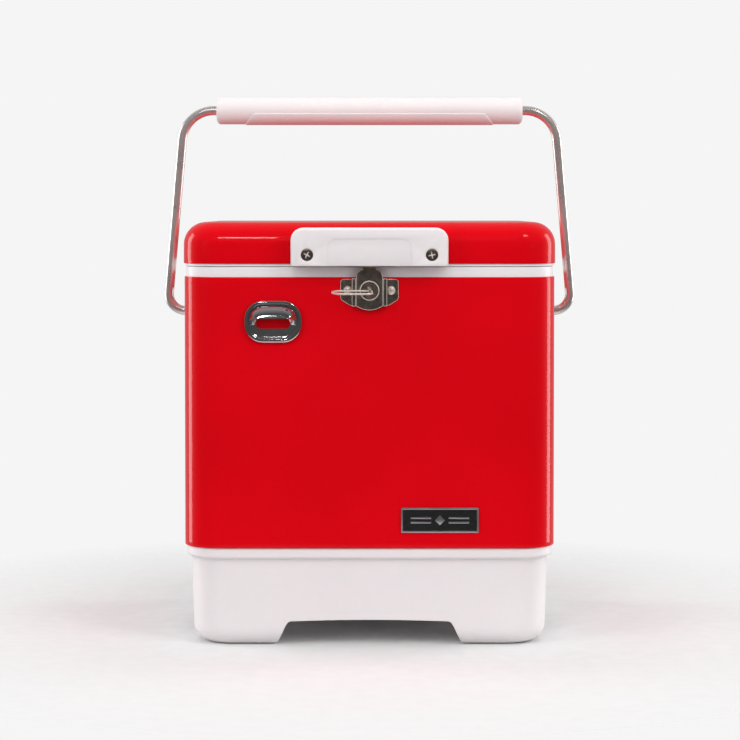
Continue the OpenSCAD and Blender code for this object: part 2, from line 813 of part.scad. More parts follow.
body_leaf_screw_x = 10;
body_leaf_screw_z = 316;
lid_leaf_screw_x = 21.5;
lid_leaf_screw_z = 364.5;
function hinge_screws_x(offset) = [for (s = [-1, 1], d = [-offset, offset]) s * hinge_x + d];

body_knuckle_half = 6.5;
knuckle_gap = 0.2;

// A strip seen from the side, from point to point, as thick as the leaf.
module strip(points, t) {
    for (i = [0:len(points) - 2]) hull() for (p = [points[i], points[i + 1]])
        translate(p) circle(t / 2, $fn = 24);
}

// The lower leaf: flat on the belt, then cranked out to the axis.
module hinge_body_leaf() {
    y0 = belt_d / 2;
    h = leaf_t / 2;
    crank_y = hinge_y - knuckle_r + h;
    color("silver") difference() {
        union() {
            translate([-leaf_w / 2, y0, 306]) cube([leaf_w, leaf_t, 26]);
            plate_x(-leaf_w / 2, leaf_w / 2) strip([[y0 + h, 331], [crank_y, 342]], leaf_t);
            plate_x(-body_knuckle_half, body_knuckle_half)
                strip([[crank_y, 342], [crank_y, hinge_z]], leaf_t);
            translate([0, hinge_y, hinge_z]) rod_x(knuckle_r, -body_knuckle_half, body_knuckle_half);
        }
        translate([0, hinge_y, hinge_z]) rod_x(hinge_pin_r + run_fit, -leaf_w, leaf_w);
        for (x = [-1, 1]) translate([x * body_leaf_screw_x, 0, body_leaf_screw_z])
            rod_y(1.9, y0 - 1, y0 + 5);
    }
}

// The upper leaf: flat on the lid's back, with a knuckle on each side of the lower leaf's.
module hinge_lid_leaf() {
    y0 = lid_d / 2;
    inner = body_knuckle_half + knuckle_gap;
    color("silver") difference() {
        union() {
            plate_y(y0, y0 + leaf_t) translate([0, lid_leaf_screw_z]) round_rect(56, 15, 3);
            for (s = [-1, 1]) translate([s * (inner + leaf_w / 2) / 2, 0, 0]) {
                w = leaf_w / 2 - inner;
                translate([0, hinge_y, hinge_z]) rod_x(knuckle_r, -w / 2, w / 2);
                translate([-w / 2, y0, hinge_z + knuckle_r - leaf_t]) cube([w, hinge_y - y0, leaf_t]);
            }
        }
        translate([0, hinge_y, hinge_z]) rod_x(hinge_pin_r, -leaf_w, leaf_w);
        for (x = [-1, 1]) translate([x * lid_leaf_screw_x, 0, lid_leaf_screw_z])
            rod_y(1.9, y0 - 1, y0 + 5);
    }
}

module hinge_pin() {
    head = 0.8;
    color("silver") translate([0, hinge_y, hinge_z]) {
        rod_x(hinge_pin_r, -leaf_w / 2 - head, leaf_w / 2 + head);
        for (s = [-1, 1]) translate([s * (leaf_w / 2 + head / 2 + run_fit), 0, 0])
            rod_x(hinge_pin_r + 0.8, -head / 2, head / 2);
    }
}

module hinge_body_leaf_left() { translate([-hinge_x, 0, 0]) hinge_body_leaf(); }
module hinge_body_leaf_right() { translate([hinge_x, 0, 0]) hinge_body_leaf(); }
module hinge_lid_leaf_left() { translate([-hinge_x, 0, 0]) hinge_lid_leaf(); }
module hinge_lid_leaf_right() { translate([hinge_x, 0, 0]) hinge_lid_leaf(); }
module hinge_pin_left() { translate([-hinge_x, 0, 0]) hinge_pin(); }
module hinge_pin_right() { translate([hinge_x, 0, 0]) hinge_pin(); }

module back_screws(offset, y0, z) {
    color("silver") for (x = hinge_screws_x(offset))
        translate([x, y0, z]) rotate([0, 0, 180]) pan_screw_y(0, 3.2, 2, 1.7, 12);
}

module hinge_body_screws() {
    back_screws(body_leaf_screw_x, belt_d / 2 + leaf_t, body_leaf_screw_z);
}

module hinge_lid_screws() {
    back_screws(lid_leaf_screw_x, lid_d / 2 + leaf_t, lid_leaf_screw_z);
}

// Everything above is drawn about the body's mid-depth, and stands here about the origin.
translate([0, mid_y, 0]) {
    base_shell();
    steel_belt();
    belt_rivets();
    inner_liner();
    body_foam();
    bottle_opener();
    opener_studs();
    badge_plate();
    badge_field();
    badge_ornament();
    catch_plate();
    catch_screws();
    pivot_plate_left();
    pivot_plate_right();
    pivot_plate_screws();
    hinge_body_leaf_left();
    hinge_body_leaf_right();
    hinge_body_screws();
    lid_shell();
    lid_liner();
    lid_foam();
    lift_handle();
    lift_handle_screws();
    hasp_mount();
    hasp_mount_rivets();
    hinge_lid_leaf_left();
    hinge_lid_leaf_right();
    hinge_lid_screws();
    hinge_pin_left();
    hinge_pin_right();
    hasp_flap();
    hasp_pin();
    turn_knob();
    lock_tongue();
    pull_ring();
    bail_bush_left();
    bail_bush_right();
    bail_rod();
    bail_retainers();
    grip_shell();
    grip_insert();
}
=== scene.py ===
import json
from math import asin, atan2, copysign, cos, degrees, pi, radians, sin

import bpy
import bmesh
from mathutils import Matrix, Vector


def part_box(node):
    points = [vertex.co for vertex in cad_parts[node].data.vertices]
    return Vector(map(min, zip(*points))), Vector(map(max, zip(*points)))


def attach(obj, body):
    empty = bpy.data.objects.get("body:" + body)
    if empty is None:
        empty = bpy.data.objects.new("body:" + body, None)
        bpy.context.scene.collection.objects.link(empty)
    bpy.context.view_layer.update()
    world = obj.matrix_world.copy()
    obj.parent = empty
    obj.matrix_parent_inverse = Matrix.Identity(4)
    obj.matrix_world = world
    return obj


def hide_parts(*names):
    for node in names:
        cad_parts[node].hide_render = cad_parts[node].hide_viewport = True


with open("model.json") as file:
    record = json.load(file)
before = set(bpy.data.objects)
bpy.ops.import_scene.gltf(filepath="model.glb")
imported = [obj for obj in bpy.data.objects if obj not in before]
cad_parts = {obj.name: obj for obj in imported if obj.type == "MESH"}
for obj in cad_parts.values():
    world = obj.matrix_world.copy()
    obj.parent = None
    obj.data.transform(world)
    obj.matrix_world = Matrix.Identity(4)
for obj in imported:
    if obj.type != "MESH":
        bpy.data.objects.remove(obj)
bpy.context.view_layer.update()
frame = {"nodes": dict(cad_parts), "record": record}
mm = 0.001
print("frame loaded")

# the places that everything is measured from
beltLow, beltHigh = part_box("steel_belt")
lidLow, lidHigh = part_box("lid_shell")
tubLow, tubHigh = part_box("inner_liner")
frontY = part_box("badge_plate")[1].y  # face of the steel belt
midY = (lidLow.y + lidHigh.y) / 2


# shader and geometry trees written as expressions
class Field:
    def __init__(self, tree, socket=None):
        self.tree, self.socket = tree, socket

    def make(self, kind, settings=(), values=(), output=0):
        node = self.tree.nodes.new(kind)
        for key, value in dict(settings).items():
            if key == "stops":
                ramp = node.color_ramp
                while len(ramp.elements) < len(value):
                    ramp.elements.new(0.5)
                for element, (place, colour) in zip(ramp.elements, value):
                    element.position, element.color = place, (*colour, 1)
            else:
                setattr(node, key, value)
        for key, value in dict(values).items():
            if isinstance(value, Field):
                self.tree.links.new(value.socket, node.inputs[key])
            else:
                node.inputs[key].default_value = value
        return Field(self.tree, node.outputs[output] if node.outputs else None)

    def maths(self, operation, a, b):
        return self.make("ShaderNodeMath", {"operation": operation}, {0: a, 1: b})

    def __add__(self, other):
        return self.maths("ADD", self, other)

    def __radd__(self, other):
        return self.maths("ADD", other, self)

    def __mul__(self, other):
        return self.maths("MULTIPLY", self, other)

    def __rmul__(self, other):
        return self.maths("MULTIPLY", other, self)


def newFinish(name, **fixed):
    # a material with its shader's unvarying values set straight on the sockets, and its own coordinates
    material = bpy.data.materials.new(name)
    material.use_nodes = True
    shader = material.node_tree.nodes["Principled BSDF"]
    for key, value in fixed.items():
        shader.inputs[key.replace("_", " ")].default_value = value
    field = Field(material.node_tree)
    where = field.make("ShaderNodeTexCoord", output=3)
    return material, field, shader, where


def feed(field, shader, socket):
    field.tree.links.new(field.socket, shader.inputs[socket])


def speckle(field, where, scale, detail=3.0, rough=0.5):
    values = {"Vector": where, "Scale": scale, "Detail": detail, "Roughness": rough}
    return field.make("ShaderNodeTexNoise", {}, values)


def stretched(field, where, scales):
    return field.make("ShaderNodeMapping", {}, {"Vector": where, "Scale": scales})


def ramped(field, value, stops):
    return field.make("ShaderNodeValToRGB", {"stops": stops}, {"Fac": value})


def relief(field, shader, height, distance):
    feed(field.make("ShaderNodeBump", {}, {"Height": height, "Distance": distance}), shader, "Normal")


# finishes
def redEnamel():
    # baked gloss enamel: faint orange peel, faint uneven depth of colour
    material, field, shader, where = newFinish(
        "redEnamel", Coat_Weight=0.5, Coat_Roughness=0.05, Coat_IOR=1.4, Specular_IOR_Level=0.04)
    cloud = speckle(field, where, 7.0, 2.0)
    fine = speckle(field, where, 260.0, 2.0)
    feed(ramped(field, cloud * 0.8 + fine * 0.2, [(0.3, (0.62, 0.0, 0.004)), (0.7, (0.71, 0.0, 0.006))]),
         shader, "Base Color")
    feed(0.30 + 0.12 * speckle(field, where, 40.0, 4.0), shader, "Roughness")
    peel = speckle(field, where, 420.0, 1.0)
    wave = speckle(field, where, 38.0, 1.0)
    relief(field, shader, peel * 0.5 + wave * 2.0, 0.00008)
    return material


def whitePlastic(name, tint, roughness, grain, depth):
    # moulded plastic: a fine spark-eroded grain and a trace of yellowing and grime
    material, field, shader, where = newFinish(name, IOR=1.46, Subsurface_Weight=0.06, Subsurface_Scale=0.003)
    cloud = speckle(field, where, 9.0, 3.0)
    dust = speckle(field, where, 140.0, 5.0, 0.7)
    low = tuple(c * 0.955 for c in tint)
    feed(ramped(field, cloud * 0.7 + dust * 0.3, [(0.3, low), (0.65, tint)]), shader, "Base Color")
    feed(roughness + 0.12 * dust, shader, "Roughness")
    pits = field.make("ShaderNodeTexVoronoi", {"feature": "SMOOTH_F1"}, {"Vector": where, "Scale": grain})
    relief(field, shader, pits * 1.0 + speckle(field, where, grain * 0.5, 2.0) * 0.6, depth)
    return material


def plated(name, tint, roughness, scratch=0.05, metal=1.0):
    # polished plating: hairline scuffs that catch the light, faint haze in patches
    material, field, shader, where = newFinish(name, Metallic=metal)
    haze = speckle(field, where, 30.0, 4.0, 0.6)
    hair = speckle(field, stretched(field, where, (900.0, 900.0, 60.0)), 1.0, 2.0)
    dark = tuple(c * 0.86 for c in tint)
    feed(ramped(field, haze, [(0.35, dark), (0.6, tint)]), shader, "Base Color")
    feed(roughness + scratch * haze + scratch * 0.6 * hair, shader, "Roughness")
    relief(field, shader, hair * 0.4 + haze, 0.00002)
    return material


def brushed(name, tint, roughness, along):
    # plated sheet steel with a drawn grain
    material, field, shader, where = newFinish(name, Metallic=1.0)
    grain = speckle(field, stretched(field, where, along), 1.0, 3.0)
    haze = speckle(field, where, 45.0, 4.0)
    dark = tuple(c * 0.78 for c in tint)
    feed(ramped(field, grain * 0.6 + haze * 0.4, [(0.35, dark), (0.65, tint)]), shader, "Base Color")
    feed(roughness + 0.16 * haze, shader, "Roughness")
    relief(field, shader, grain, 0.00003)
    return material


def darkNickel():
    # black nickel worn warm: smoky patches over a brown-grey metal
    material, field, shader, where = newFinish("darkNickel", Metallic=1.0)
    smoke = speckle(field, where, 160.0, 5.0, 0.65)
    hair = speckle(field, stretched(field, where, (300.0, 900.0, 1500.0)), 1.0, 2.0)
    stops = [(0.28, (0.24, 0.20, 0.17)), (0.5, (0.40, 0.335, 0.285)), (0.72, (0.62, 0.53, 0.46))]
    feed(ramped(field, smoke * 0.75 + hair * 0.25, stops), shader, "Base Color")
    feed(0.26 + 0.22 * smoke, shader, "Roughness")
    relief(field, shader, smoke + hair * 0.4, 0.00006)
    return material


def foamSkin():
    # rigid foam where it is cut: closed cells and a cream colour
    material, field, shader, where = newFinish("foamSkin", Roughness=0.9)
    cells = field.make("ShaderNodeTexVoronoi", {}, {"Vector": where, "Scale": 700.0})
    feed(ramped(field, cells, [(0.1, (0.62, 0.50, 0.27)), (0.6, (0.78, 0.68, 0.42))]), shader, "Base Color")
    relief(field, shader, cells, 0.0003)
    return material


def blackEnamel():
    material, field, shader, where = newFinish("blackEnamel", Coat_Weight=0.6, Coat_Roughness=0.1)
    dust = speckle(field, where, 500.0, 4.0, 0.7)
    feed(ramped(field, dust, [(0.4, (0.004, 0.004, 0.005)), (0.8, (0.016, 0.016, 0.018))]),
         shader, "Base Color")
    feed(0.28 + 0.2 * dust, shader, "Roughness")
    relief(field, shader, dust, 0.00003)
    return material


enamel = redEnamel()
basePlastic = whitePlastic("basePlastic", (0.80, 0.755, 0.765), 0.42, 1500.0, 0.00005)
handlePlastic = whitePlastic("handlePlastic", (0.84, 0.79, 0.80), 0.30, 2200.0, 0.00002)
linerPlastic = whitePlastic("linerPlastic", (0.83, 0.80, 0.81), 0.34, 900.0, 0.00003)
gripPlastic = whitePlastic("gripPlastic", (0.84, 0.775, 0.775), 0.40, 1300.0, 0.00004)
nylon = whitePlastic("nylon", (0.74, 0.70, 0.60), 0.45, 1200.0, 0.00003)
chrome = plated("chrome", (0.70, 0.70, 0.72), 0.07)
bailChrome = plated("bailChrome", (0.88, 0.80, 0.77), 0.24, metal=0.8)
# a nickel made partly diffuse so it looks bright from every side: a painted highlight, used on the latch's
# edges, the disc's ring, the pull ring and the screw heads
paintedHighlightNickel = plated("paintedHighlightNickel", (0.88, 0.79, 0.71), 0.26, metal=0.45)
nickel = darkNickel()
zinc = brushed("zinc", (0.62, 0.62, 0.63), 0.30, (40.0, 40.0, 700.0))
silver = brushed("silver", (0.74, 0.74, 0.76), 0.26, (30.0, 700.0, 700.0))
bronze = brushed("antiqueBronze", (0.40, 0.30, 0.22), 0.30, (300.0, 300.0, 300.0))
black = blackEnamel()
cellFoam = foamSkin()
print("finishes made")


# mesh helpers
def linked(name, data):
    piece = bpy.data.objects.new(name, data)
    bpy.context.scene.collection.objects.link(piece)
    return piece


def meshPiece(name, vertices, faces, finishes, smoothAngle=35.0):
    mesh = bpy.data.meshes.new(name)
    mesh.from_pydata([tuple(v) for v in vertices], [], faces)
    piece = linked(name, mesh)
    for finish in finishes:
        mesh.materials.append(finish)
    tidy(piece, smoothAngle)
    return piece


def tidy(piece, smoothAngle=35.0):
    # outward normals, then smooth faces with creases kept at sharp edges
    edit = bmesh.new()
    edit.from_mesh(piece.data)
    bmesh.ops.remove_doubles(edit, verts=edit.verts, dist=1e-7)
    bmesh.ops.recalc_face_normals(edit, faces=edit.faces)
    for face in edit.faces:
        face.smooth = True
    for edge in edit.edges:
        edge.smooth = edge.calc_face_angle(0.0) < radians(smoothAngle)
    edit.to_mesh(piece.data)
    edit.free()


def bevelled(piece, width, segments=3, angle=30.0, edgeFinish=-1):
    # a rounded edge wherever two faces meet sharply, in another finish if asked
    modifier = piece.modifiers.new("edges", "BEVEL")
    modifier.width, modifier.segments = width, segments
    modifier.limit_method, modifier.angle_limit = "ANGLE", radians(angle)
    modifier.material = edgeFinish
    return applied(piece)


def applied(piece):
    # the piece as its modifiers leave it, with none of them left on it
    graph = bpy.context.evaluated_depsgraph_get()
    mesh = bpy.data.meshes.new_from_object(piece.evaluated_get(graph))
    piece.modifiers.clear()
    piece.data = mesh
    tidy(piece)
    return piece


def joined(name, pieces):
    # several meshes as one, each keeping its own finish
    finishes = []
    edit = bmesh.new()
    for piece in pieces:
        start = len(finishes)
        finishes.extend(piece.data.materials)
        before = len(edit.faces)
        edit.from_mesh(piece.data)
        edit.faces.ensure_lookup_table()
        for face in edit.faces[before:]:
            face.material_index += start
        bpy.data.objects.remove(piece)
    mesh = bpy.data.meshes.new(name)
    edit.to_mesh(mesh)
    edit.free()
    for finish in finishes:
        mesh.materials.append(finish)
    return linked(name, mesh)


def shown(piece, body, slot, *nodes):
    # hands a finished piece to the frame
    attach(piece, body)
    if nodes:
        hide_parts(*nodes)
    return piece


def millimetres(**sizes):
    return {name: size * mm for name, size in sizes.items()}


def fillet(radius, count, start=0, stop=90):
    # steps round a quarter circle, each as the distances in and down from its corner
    return [(radius * (1 - cos(t)), radius * (1 - sin(t))) for t in arcSteps(count, start, stop)]


def roundLoop(halfWidth, halfDepth, radius, perCorner=12, stopsX=(), stopsY=()):
    # a rounded rectangle, anticlockwise from the middle of its right side's lower half
    radius = min(radius, halfWidth - 1e-6, halfDepth - 1e-6)
    cx, cy = halfWidth - radius, halfDepth - radius
    points = []
    for quarter, (sx, sy) in enumerate([(1, 1), (-1, 1), (-1, -1), (1, -1)]):
        for step in range(perCorner + 1):
            turn = radians(90 * (quarter + step / perCorner))
            points.append((sx * cx + radius * cos(turn), sy * cy + radius * sin(turn)))
        if quarter == 0:
            points += [(x, halfDepth) for x in sorted(stopsX, reverse=True)]
        elif quarter == 1:
            points += [(-halfWidth, y) for y in sorted(stopsY, reverse=True)]
        elif quarter == 2:
            points += [(x, -halfDepth) for x in sorted(stopsX)]
        else:
            points += [(halfWidth, y) for y in sorted(stopsY)]
    return points


def skinRings(rings, capStart=False, capEnd=False):
    # vertices and faces of a skin through rings of equal count
    count = len(rings[0])
    vertices = [point for ring in rings for point in ring]
    faces = []
    for level in range(len(rings) - 1):
        a, b = level * count, (level + 1) * count
        faces += [(a + i, a + (i + 1) % count, b + (i + 1) % count, b + i) for i in range(count)]
    if capStart:
        faces.append(tuple(reversed(range(count))))
    if capEnd:
        faces.append(tuple(range((len(rings) - 1) * count, len(rings) * count)))
    return vertices, faces


def levelRing(halfWidth, halfDepth, radius, z, perCorner=12):
    # a rounded rectangle lying level, about the chest's middle
    return [Vector((x, midY + y, z)) for x, y in roundLoop(halfWidth, halfDepth, radius, perCorner)]


def frontScrews(x, y, z):
    # a left and a right screw that face forwards
    return [(Vector((side * x, y, z)), (0, -1, 0)) for side in (-1, 1)]


def arcSteps(count, start=0.0, stop=90.0):
    return [radians(start + (stop - start) * i / count) for i in range(count + 1)]


def frontPlate(name, outline, y0, y1, finishes, edge, segments=3, edgeFinish=-1, angle=30.0):
    # a flat stamping in the X-Z plane between y0 and y1 with rounded edges
    vertices = [(x, y, z) for y in (y0, y1) for x, z in outline]
    count = len(outline)
    faces = [tuple(range(count)), tuple(reversed(range(count, 2 * count)))]
    faces += [(i, (i + 1) % count, count + (i + 1) % count, count + i) for i in range(count)]
    piece = meshPiece(name, vertices, faces, finishes)
    return bevelled(piece, edge, segments, angle, edgeFinish) if edge else piece


def loopXZ(x, z, halfWidth, halfHeight, radius, perCorner=8):
    return [(x + px, z + pz) for px, pz in roundLoop(halfWidth, halfHeight, radius, perCorner)]


def bentSheet(name, rows, finish, thickness, edge, segments, smoothAngle=35.0):
    # a sheet through rows of points, thickened to both sides, with rounded edges
    across = len(rows[0])
    faces = [(a, a + 1, a + across + 1, a + across)
             for k in range(len(rows) - 1) for a in range(k * across, (k + 1) * across - 1)]
    sheet = meshPiece(name, [point for row in rows for point in row], faces, [finish], smoothAngle)
    thick = sheet.modifiers.new("thick", "SOLIDIFY")
    thick.thickness, thick.offset, thick.use_even_offset = thickness, 0.0, True
    return bevelled(applied(sheet), edge, segments, 50.0)


def carve(piece, cutter):
    # takes the cutter out of the piece
    modifier = piece.modifiers.new("cut", "BOOLEAN")
    modifier.operation, modifier.object, modifier.solver = "DIFFERENCE", cutter, "EXACT"
    applied(piece)
    bpy.data.objects.remove(cutter)
    return piece


def block(name, low, high):
    corners = [(x, y, z) for x in (low[0], high[0]) for y in (low[1], high[1]) for z in (low[2], high[2])]
    faces = [(0, 1, 3, 2), (4, 6, 7, 5), (0, 4, 5, 1), (2, 3, 7, 6), (0, 2, 6, 4), (1, 5, 7, 3)]
    return meshPiece(name, corners, faces, [])


def turned(name, profile, centre, axis, finishes, count=48):
    # a profile of (distance along the axis, radius) turned about an axis through centre
    turn = Vector((0, 0, 1)).rotation_difference(Vector(axis)).to_matrix()
    rings = []
    for along, radius in profile:
        ring = []
        for i in range(count):
            angle = 2 * pi * i / count
            local = Vector((radius * cos(angle), radius * sin(angle), along))
            ring.append(Vector(centre) + turn @ local)
        rings.append(ring)
    vertices, faces = skinRings(rings, profile[0][1] > 0, profile[-1][1] > 0)
    return meshPiece(name, vertices, faces, finishes)


# geometry node trees
def newTree(name, sizes):
    # a tree with a geometry input and output and one named input for each size
    tree = bpy.data.node_groups.new(name, "GeometryNodeTree")
    tree.interface.new_socket("Geometry", in_out="INPUT", socket_type="NodeSocketGeometry")
    tree.interface.new_socket("Geometry", in_out="OUTPUT", socket_type="NodeSocketGeometry")
    tree.interface.new_socket("Finish", in_out="INPUT", socket_type="NodeSocketMaterial")
    for size, value in sizes.items():
        kind = "NodeSocketInt" if isinstance(value, int) else "NodeSocketFloat"
        tree.interface.new_socket(size, in_out="INPUT", socket_type=kind).default_value = value
    field = Field(tree)
    inputs = tree.nodes.new("NodeGroupInput")
    given = {socket.name: Field(tree, socket) for socket in inputs.outputs if socket.name}
    return tree, field, given


def endTree(field, geometry, finish):
    whole = field.make("GeometryNodeRealizeInstances", {}, {"Geometry": geometry})
    whole = field.make("GeometryNodeSetMaterial", {}, {"Geometry": whole, "Material": finish})
    out = field.tree.nodes.new("NodeGroupOutput")
    field.tree.links.new(whole.socket, out.inputs[0])


def grown(name, seedPiece, tree, finish, sizes):
    # runs the tree on the seed piece and keeps what it grows as a plain mesh
    modifier = seedPiece.modifiers.new("grow", "NODES")
    modifier.node_group = tree
    for item in tree.interface.items_tree:
        if item.in_out == "INPUT" and item.name in sizes:
            modifier[item.identifier] = sizes[item.name]
        if item.in_out == "INPUT" and item.name == "Finish":
            modifier[item.identifier] = finish
    graph = bpy.context.evaluated_depsgraph_get()
    mesh = bpy.data.meshes.new_from_object(seedPiece.evaluated_get(graph))
    mesh.name = name
    piece = linked(name, mesh)
    bpy.data.objects.remove(seedPiece)
    tidy(piece, 40.0)
    return piece


def screwTree():
    # a domed head with a cross cut in it, on every point, facing along the point's normal
    tree, field, given = newTree("screwHeads", {
        "Head radius": 0.0034, "Head height": 0.0018, "Slot length": 0.004,
        "Slot width": 0.0008, "Slot floor": 0.0008})
    radius, height = given["Head radius"], given["Head height"]
    ball = field.make("GeometryNodeMeshUVSphere", {}, {"Segments": 40, "Rings": 24, "Radius": 1.0})
    flat = field.make("ShaderNodeCombineXYZ", {}, {0: radius, 1: radius, 2: height * 1.25})
    ball = field.make("GeometryNodeTransform", {}, {"Geometry": ball, "Scale": flat})
    drop = field.make("ShaderNodeCombineXYZ", {}, {2: height * -0.25})
    ball = field.make("GeometryNodeTransform", {}, {"Geometry": ball, "Translation": drop})
    under = field.make("ShaderNodeCombineXYZ", {}, {0: radius * 3.0, 1: radius * 3.0, 2: height * 2.0})
    below = field.make("GeometryNodeMeshCube", {}, {"Size": under})
    sink = field.make("ShaderNodeCombineXYZ", {}, {2: height * -1.0})
    below = field.make("GeometryNodeTransform", {}, {"Geometry": below, "Translation": sink})
    length, width = given["Slot length"], given["Slot width"]
    lift = field.make("ShaderNodeCombineXYZ", {}, {2: given["Slot floor"] + height})
    cutters = [below]
    for a, b in ((length, width), (width, length)):
        size = field.make("ShaderNodeCombineXYZ", {}, {0: a, 1: b, 2: height * 2.0})
        bar = field.make("GeometryNodeMeshCube", {}, {"Size": size})
        cutters.append(field.make("GeometryNodeTransform", {}, {"Geometry": bar, "Translation": lift}))
    head = ball
    for cutter in cutters:
        cut = tree.nodes.new("GeometryNodeMeshBoolean")
        cut.operation = "DIFFERENCE"
        tree.links.new(head.socket, cut.inputs["Mesh 1"])
        tree.links.new(cutter.socket, cut.inputs["Mesh 2"])
        head = Field(tree, cut.outputs["Mesh"])
    facing = field.make("GeometryNodeInputNamedAttribute", {"data_type": "FLOAT_VECTOR"}, {"Name": "facing"})
    turn = field.make("FunctionNodeAlignRotationToVector", {"axis": "Z"}, {"Vector": facing})
    twist = field.make("FunctionNodeRandomValue", {"data_type": "FLOAT"},
                       {2: 0.0, 3: 1.57, 8: 4}, output=1)
    spin = field.make("FunctionNodeAxisAngleToRotation", {}, {"Angle": twist})
    turn = field.make("FunctionNodeRotateRotation", {"rotation_space": "LOCAL"},
                      {"Rotation": turn, "Rotate By": spin})
    heads = field.make("GeometryNodeInstanceOnPoints", {},
                       {"Points": given["Geometry"], "Instance": head, "Rotation": turn})
    endTree(field, heads, given["Finish"])
    return tree


def tubeTree():
    # a round rod along a path, with closed ends
    tree, field, given = newTree("roundRod", {"Radius": 0.0045, "Sides": 32})
    ring = field.make("GeometryNodeCurvePrimitiveCircle", {},
                      {"Resolution": given["Sides"], "Radius": given["Radius"]})
    rod = field.make("GeometryNodeCurveToMesh", {},
                     {"Curve": given["Geometry"], "Profile Curve": ring, "Fill Caps": True})
    endTree(field, rod, given["Finish"])
    return tree


screws, rods = screwTree(), tubeTree()


def pointSeed(places):
    # loose points, each with the way it faces
    mesh = bpy.data.meshes.new("seed")
    mesh.from_pydata([tuple(place) for place, _ in places], [], [])
    facing = mesh.attributes.new("facing", "FLOAT_VECTOR", "POINT")
    for item, (_, way) in zip(facing.data, places):
        item.vector = way
    return linked("seed", mesh)


def pathSeed(points, closed=False):
    curve = bpy.data.curves.new("path", "CURVE")
    curve.dimensions = "3D"
    spline = curve.splines.new("POLY")
    spline.points.add(len(points) - 1)
    for item, point in zip(spline.points, points):
        item.co = (*point, 1)
    spline.use_cyclic_u = closed
    return linked("path", curve)


def screwHeads(name, places, finish, body, slot, node, sizes):
    # the sizes are millimetres, in the order of the tree's inputs
    inputs = ("Head radius", "Head height", "Slot length", "Slot width", "Slot floor")
    named = {key: size * mm for key, size in zip(inputs, sizes)}
    return shown(grown(name, pointSeed(places), screws, finish, named), body, slot, node)


def solidBoxes(node):
    # the box of each separate solid of a node, from its loose pieces
    edit = bmesh.new()
    edit.from_mesh(frame["nodes"][node].data)
    bmesh.ops.remove_doubles(edit, verts=edit.verts, dist=1e-6)
    todo, boxes = set(edit.verts), []
    while todo:
        group, heap = [], [todo.pop()]
        while heap:
            vertex = heap.pop()
            group.append(vertex.co.copy())
            for edge in vertex.link_edges:
                other = edge.other_vert(vertex)
                if other in todo:
                    todo.remove(other)
                    heap.append(other)
        low = Vector([min(p[i] for p in group) for i in range(3)])
        high = Vector([max(p[i] for p in group) for i in range(3)])
        boxes.append((low, high))
    edit.free()
    return sorted(boxes, key=lambda b: tuple(b[0]))


print("helpers and trees made")


# the lid
lidSizes = millimetres(corner=36, shoulder=21, hem=0.8)


def lidRings(sizes, low, high, bottom):
    # from the hem up the wall and over the shoulder to the flat top
    halfW, halfD = (high.x - low.x) / 2, (high.y - low.y) / 2
    hem, shoulder = sizes["hem"], sizes["shoulder"]
    rings = []
    for turn in arcSteps(4, 0, 180):
        rings.append((hem * (1 + cos(turn)), bottom + hem * (1 - sin(turn))))
    rings.append((0.0, bottom + 6 * mm))
    rings += [(i, high.z - down) for i, down in fillet(shoulder, 14)]
    rings.append((shoulder + 2 * mm, high.z))
    rings.append((shoulder + 8 * mm, high.z))
    return [levelRing(halfW - i, halfD - i, max(sizes["corner"] - i, 4 * mm), z) for i, z in rings]


vertices, faces = skinRings(lidRings(lidSizes, lidLow, lidHigh, lidLow.z), capEnd=True)
shown(meshPiece("lid_skin", vertices, faces, [enamel]), "lid", "belt_paint", "lid_shell")

linerLow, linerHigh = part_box("lid_liner")
linerSizes = millimetres(corner=34.5, plugCorner=21, plugInset=29.5, lip=0.7, plugEdge=3, panelInset=16,
    panelDepth=1.5)


def lidLiner(sizes):
    # a thin lip under the steel, then the plug with a panel sunk in its face
    halfW, halfD = (linerHigh.x - linerLow.x) / 2, (linerHigh.y - linerLow.y) / 2
    lipZ, plugZ = lidLow.z - 2.3 * mm, linerLow.z
    steps = [(0, lidLow.z + 2 * mm)]
    steps += [(i, lipZ + down) for i, down in fillet(sizes["lip"], 4)]
    plug, edge = sizes["plugInset"] + 1 * mm, sizes["plugEdge"]
    steps += [(plug - 2 * mm, lipZ)]
    steps += [(plug - 2 * mm * cos(t), lipZ - 2 * mm + 2 * mm * sin(t))
              for t in arcSteps(4, 90, 0)]
    steps += [(plug + i, plugZ + down) for i, down in fillet(edge, 5)]
    panel = plug + sizes["panelInset"]
    steps += [(panel - 2 * mm, plugZ), (panel - 0.4 * mm, plugZ + 0.3 * mm),
              (panel + 1 * mm, plugZ + sizes["panelDepth"] - 0.3 * mm),
              (panel + 2.5 * mm, plugZ + sizes["panelDepth"])]
    rings = []
    for inset, z in steps:
        share = min(1.0, inset / plug)
        corner = sizes["corner"] + (sizes["plugCorner"] - sizes["corner"]) * share
        corner -= max(0.0, inset - plug) * 0.8
        rings.append(levelRing(halfW - inset, halfD - inset, max(corner, 4 * mm), z))
    return skinRings(rings, capEnd=True)


vertices, faces = lidLiner(linerSizes)
shown(meshPiece("lid_underside", vertices, faces, [linerPlastic]), "lid", "liner_plastic", "lid_liner")
print("lid made")


# the belt, rim and tub
beltSizes = millimetres(corner=35, hem=0.8, seamWidth=16)


def beltSleeve(sizes):
    # a closed sleeve with a rolled hem at the top and bottom
    halfW, halfD = (beltHigh.x - beltLow.x) / 2, -frontY + midY
    hem = sizes["hem"]
    steps = [(i, beltHigh.z - down) for i, down in fillet(hem, 6, 180, 0)]
    steps += [(0, beltHigh.z - 5 * mm), (0, beltLow.z + 5 * mm)]
    steps += [(i, beltLow.z + down) for i, down in fillet(hem, 6, 0, 180)]
    rings = [levelRing(halfW - i, halfD - i, sizes["corner"] - i, z, 14) for i, z in steps]
    return skinRings(rings + rings[:1])


vertices, faces = beltSleeve(beltSizes)
shown(meshPiece("belt_skin", vertices, faces, [enamel]), "chest", "belt_paint", "steel_belt")

backY = 2 * midY - frontY


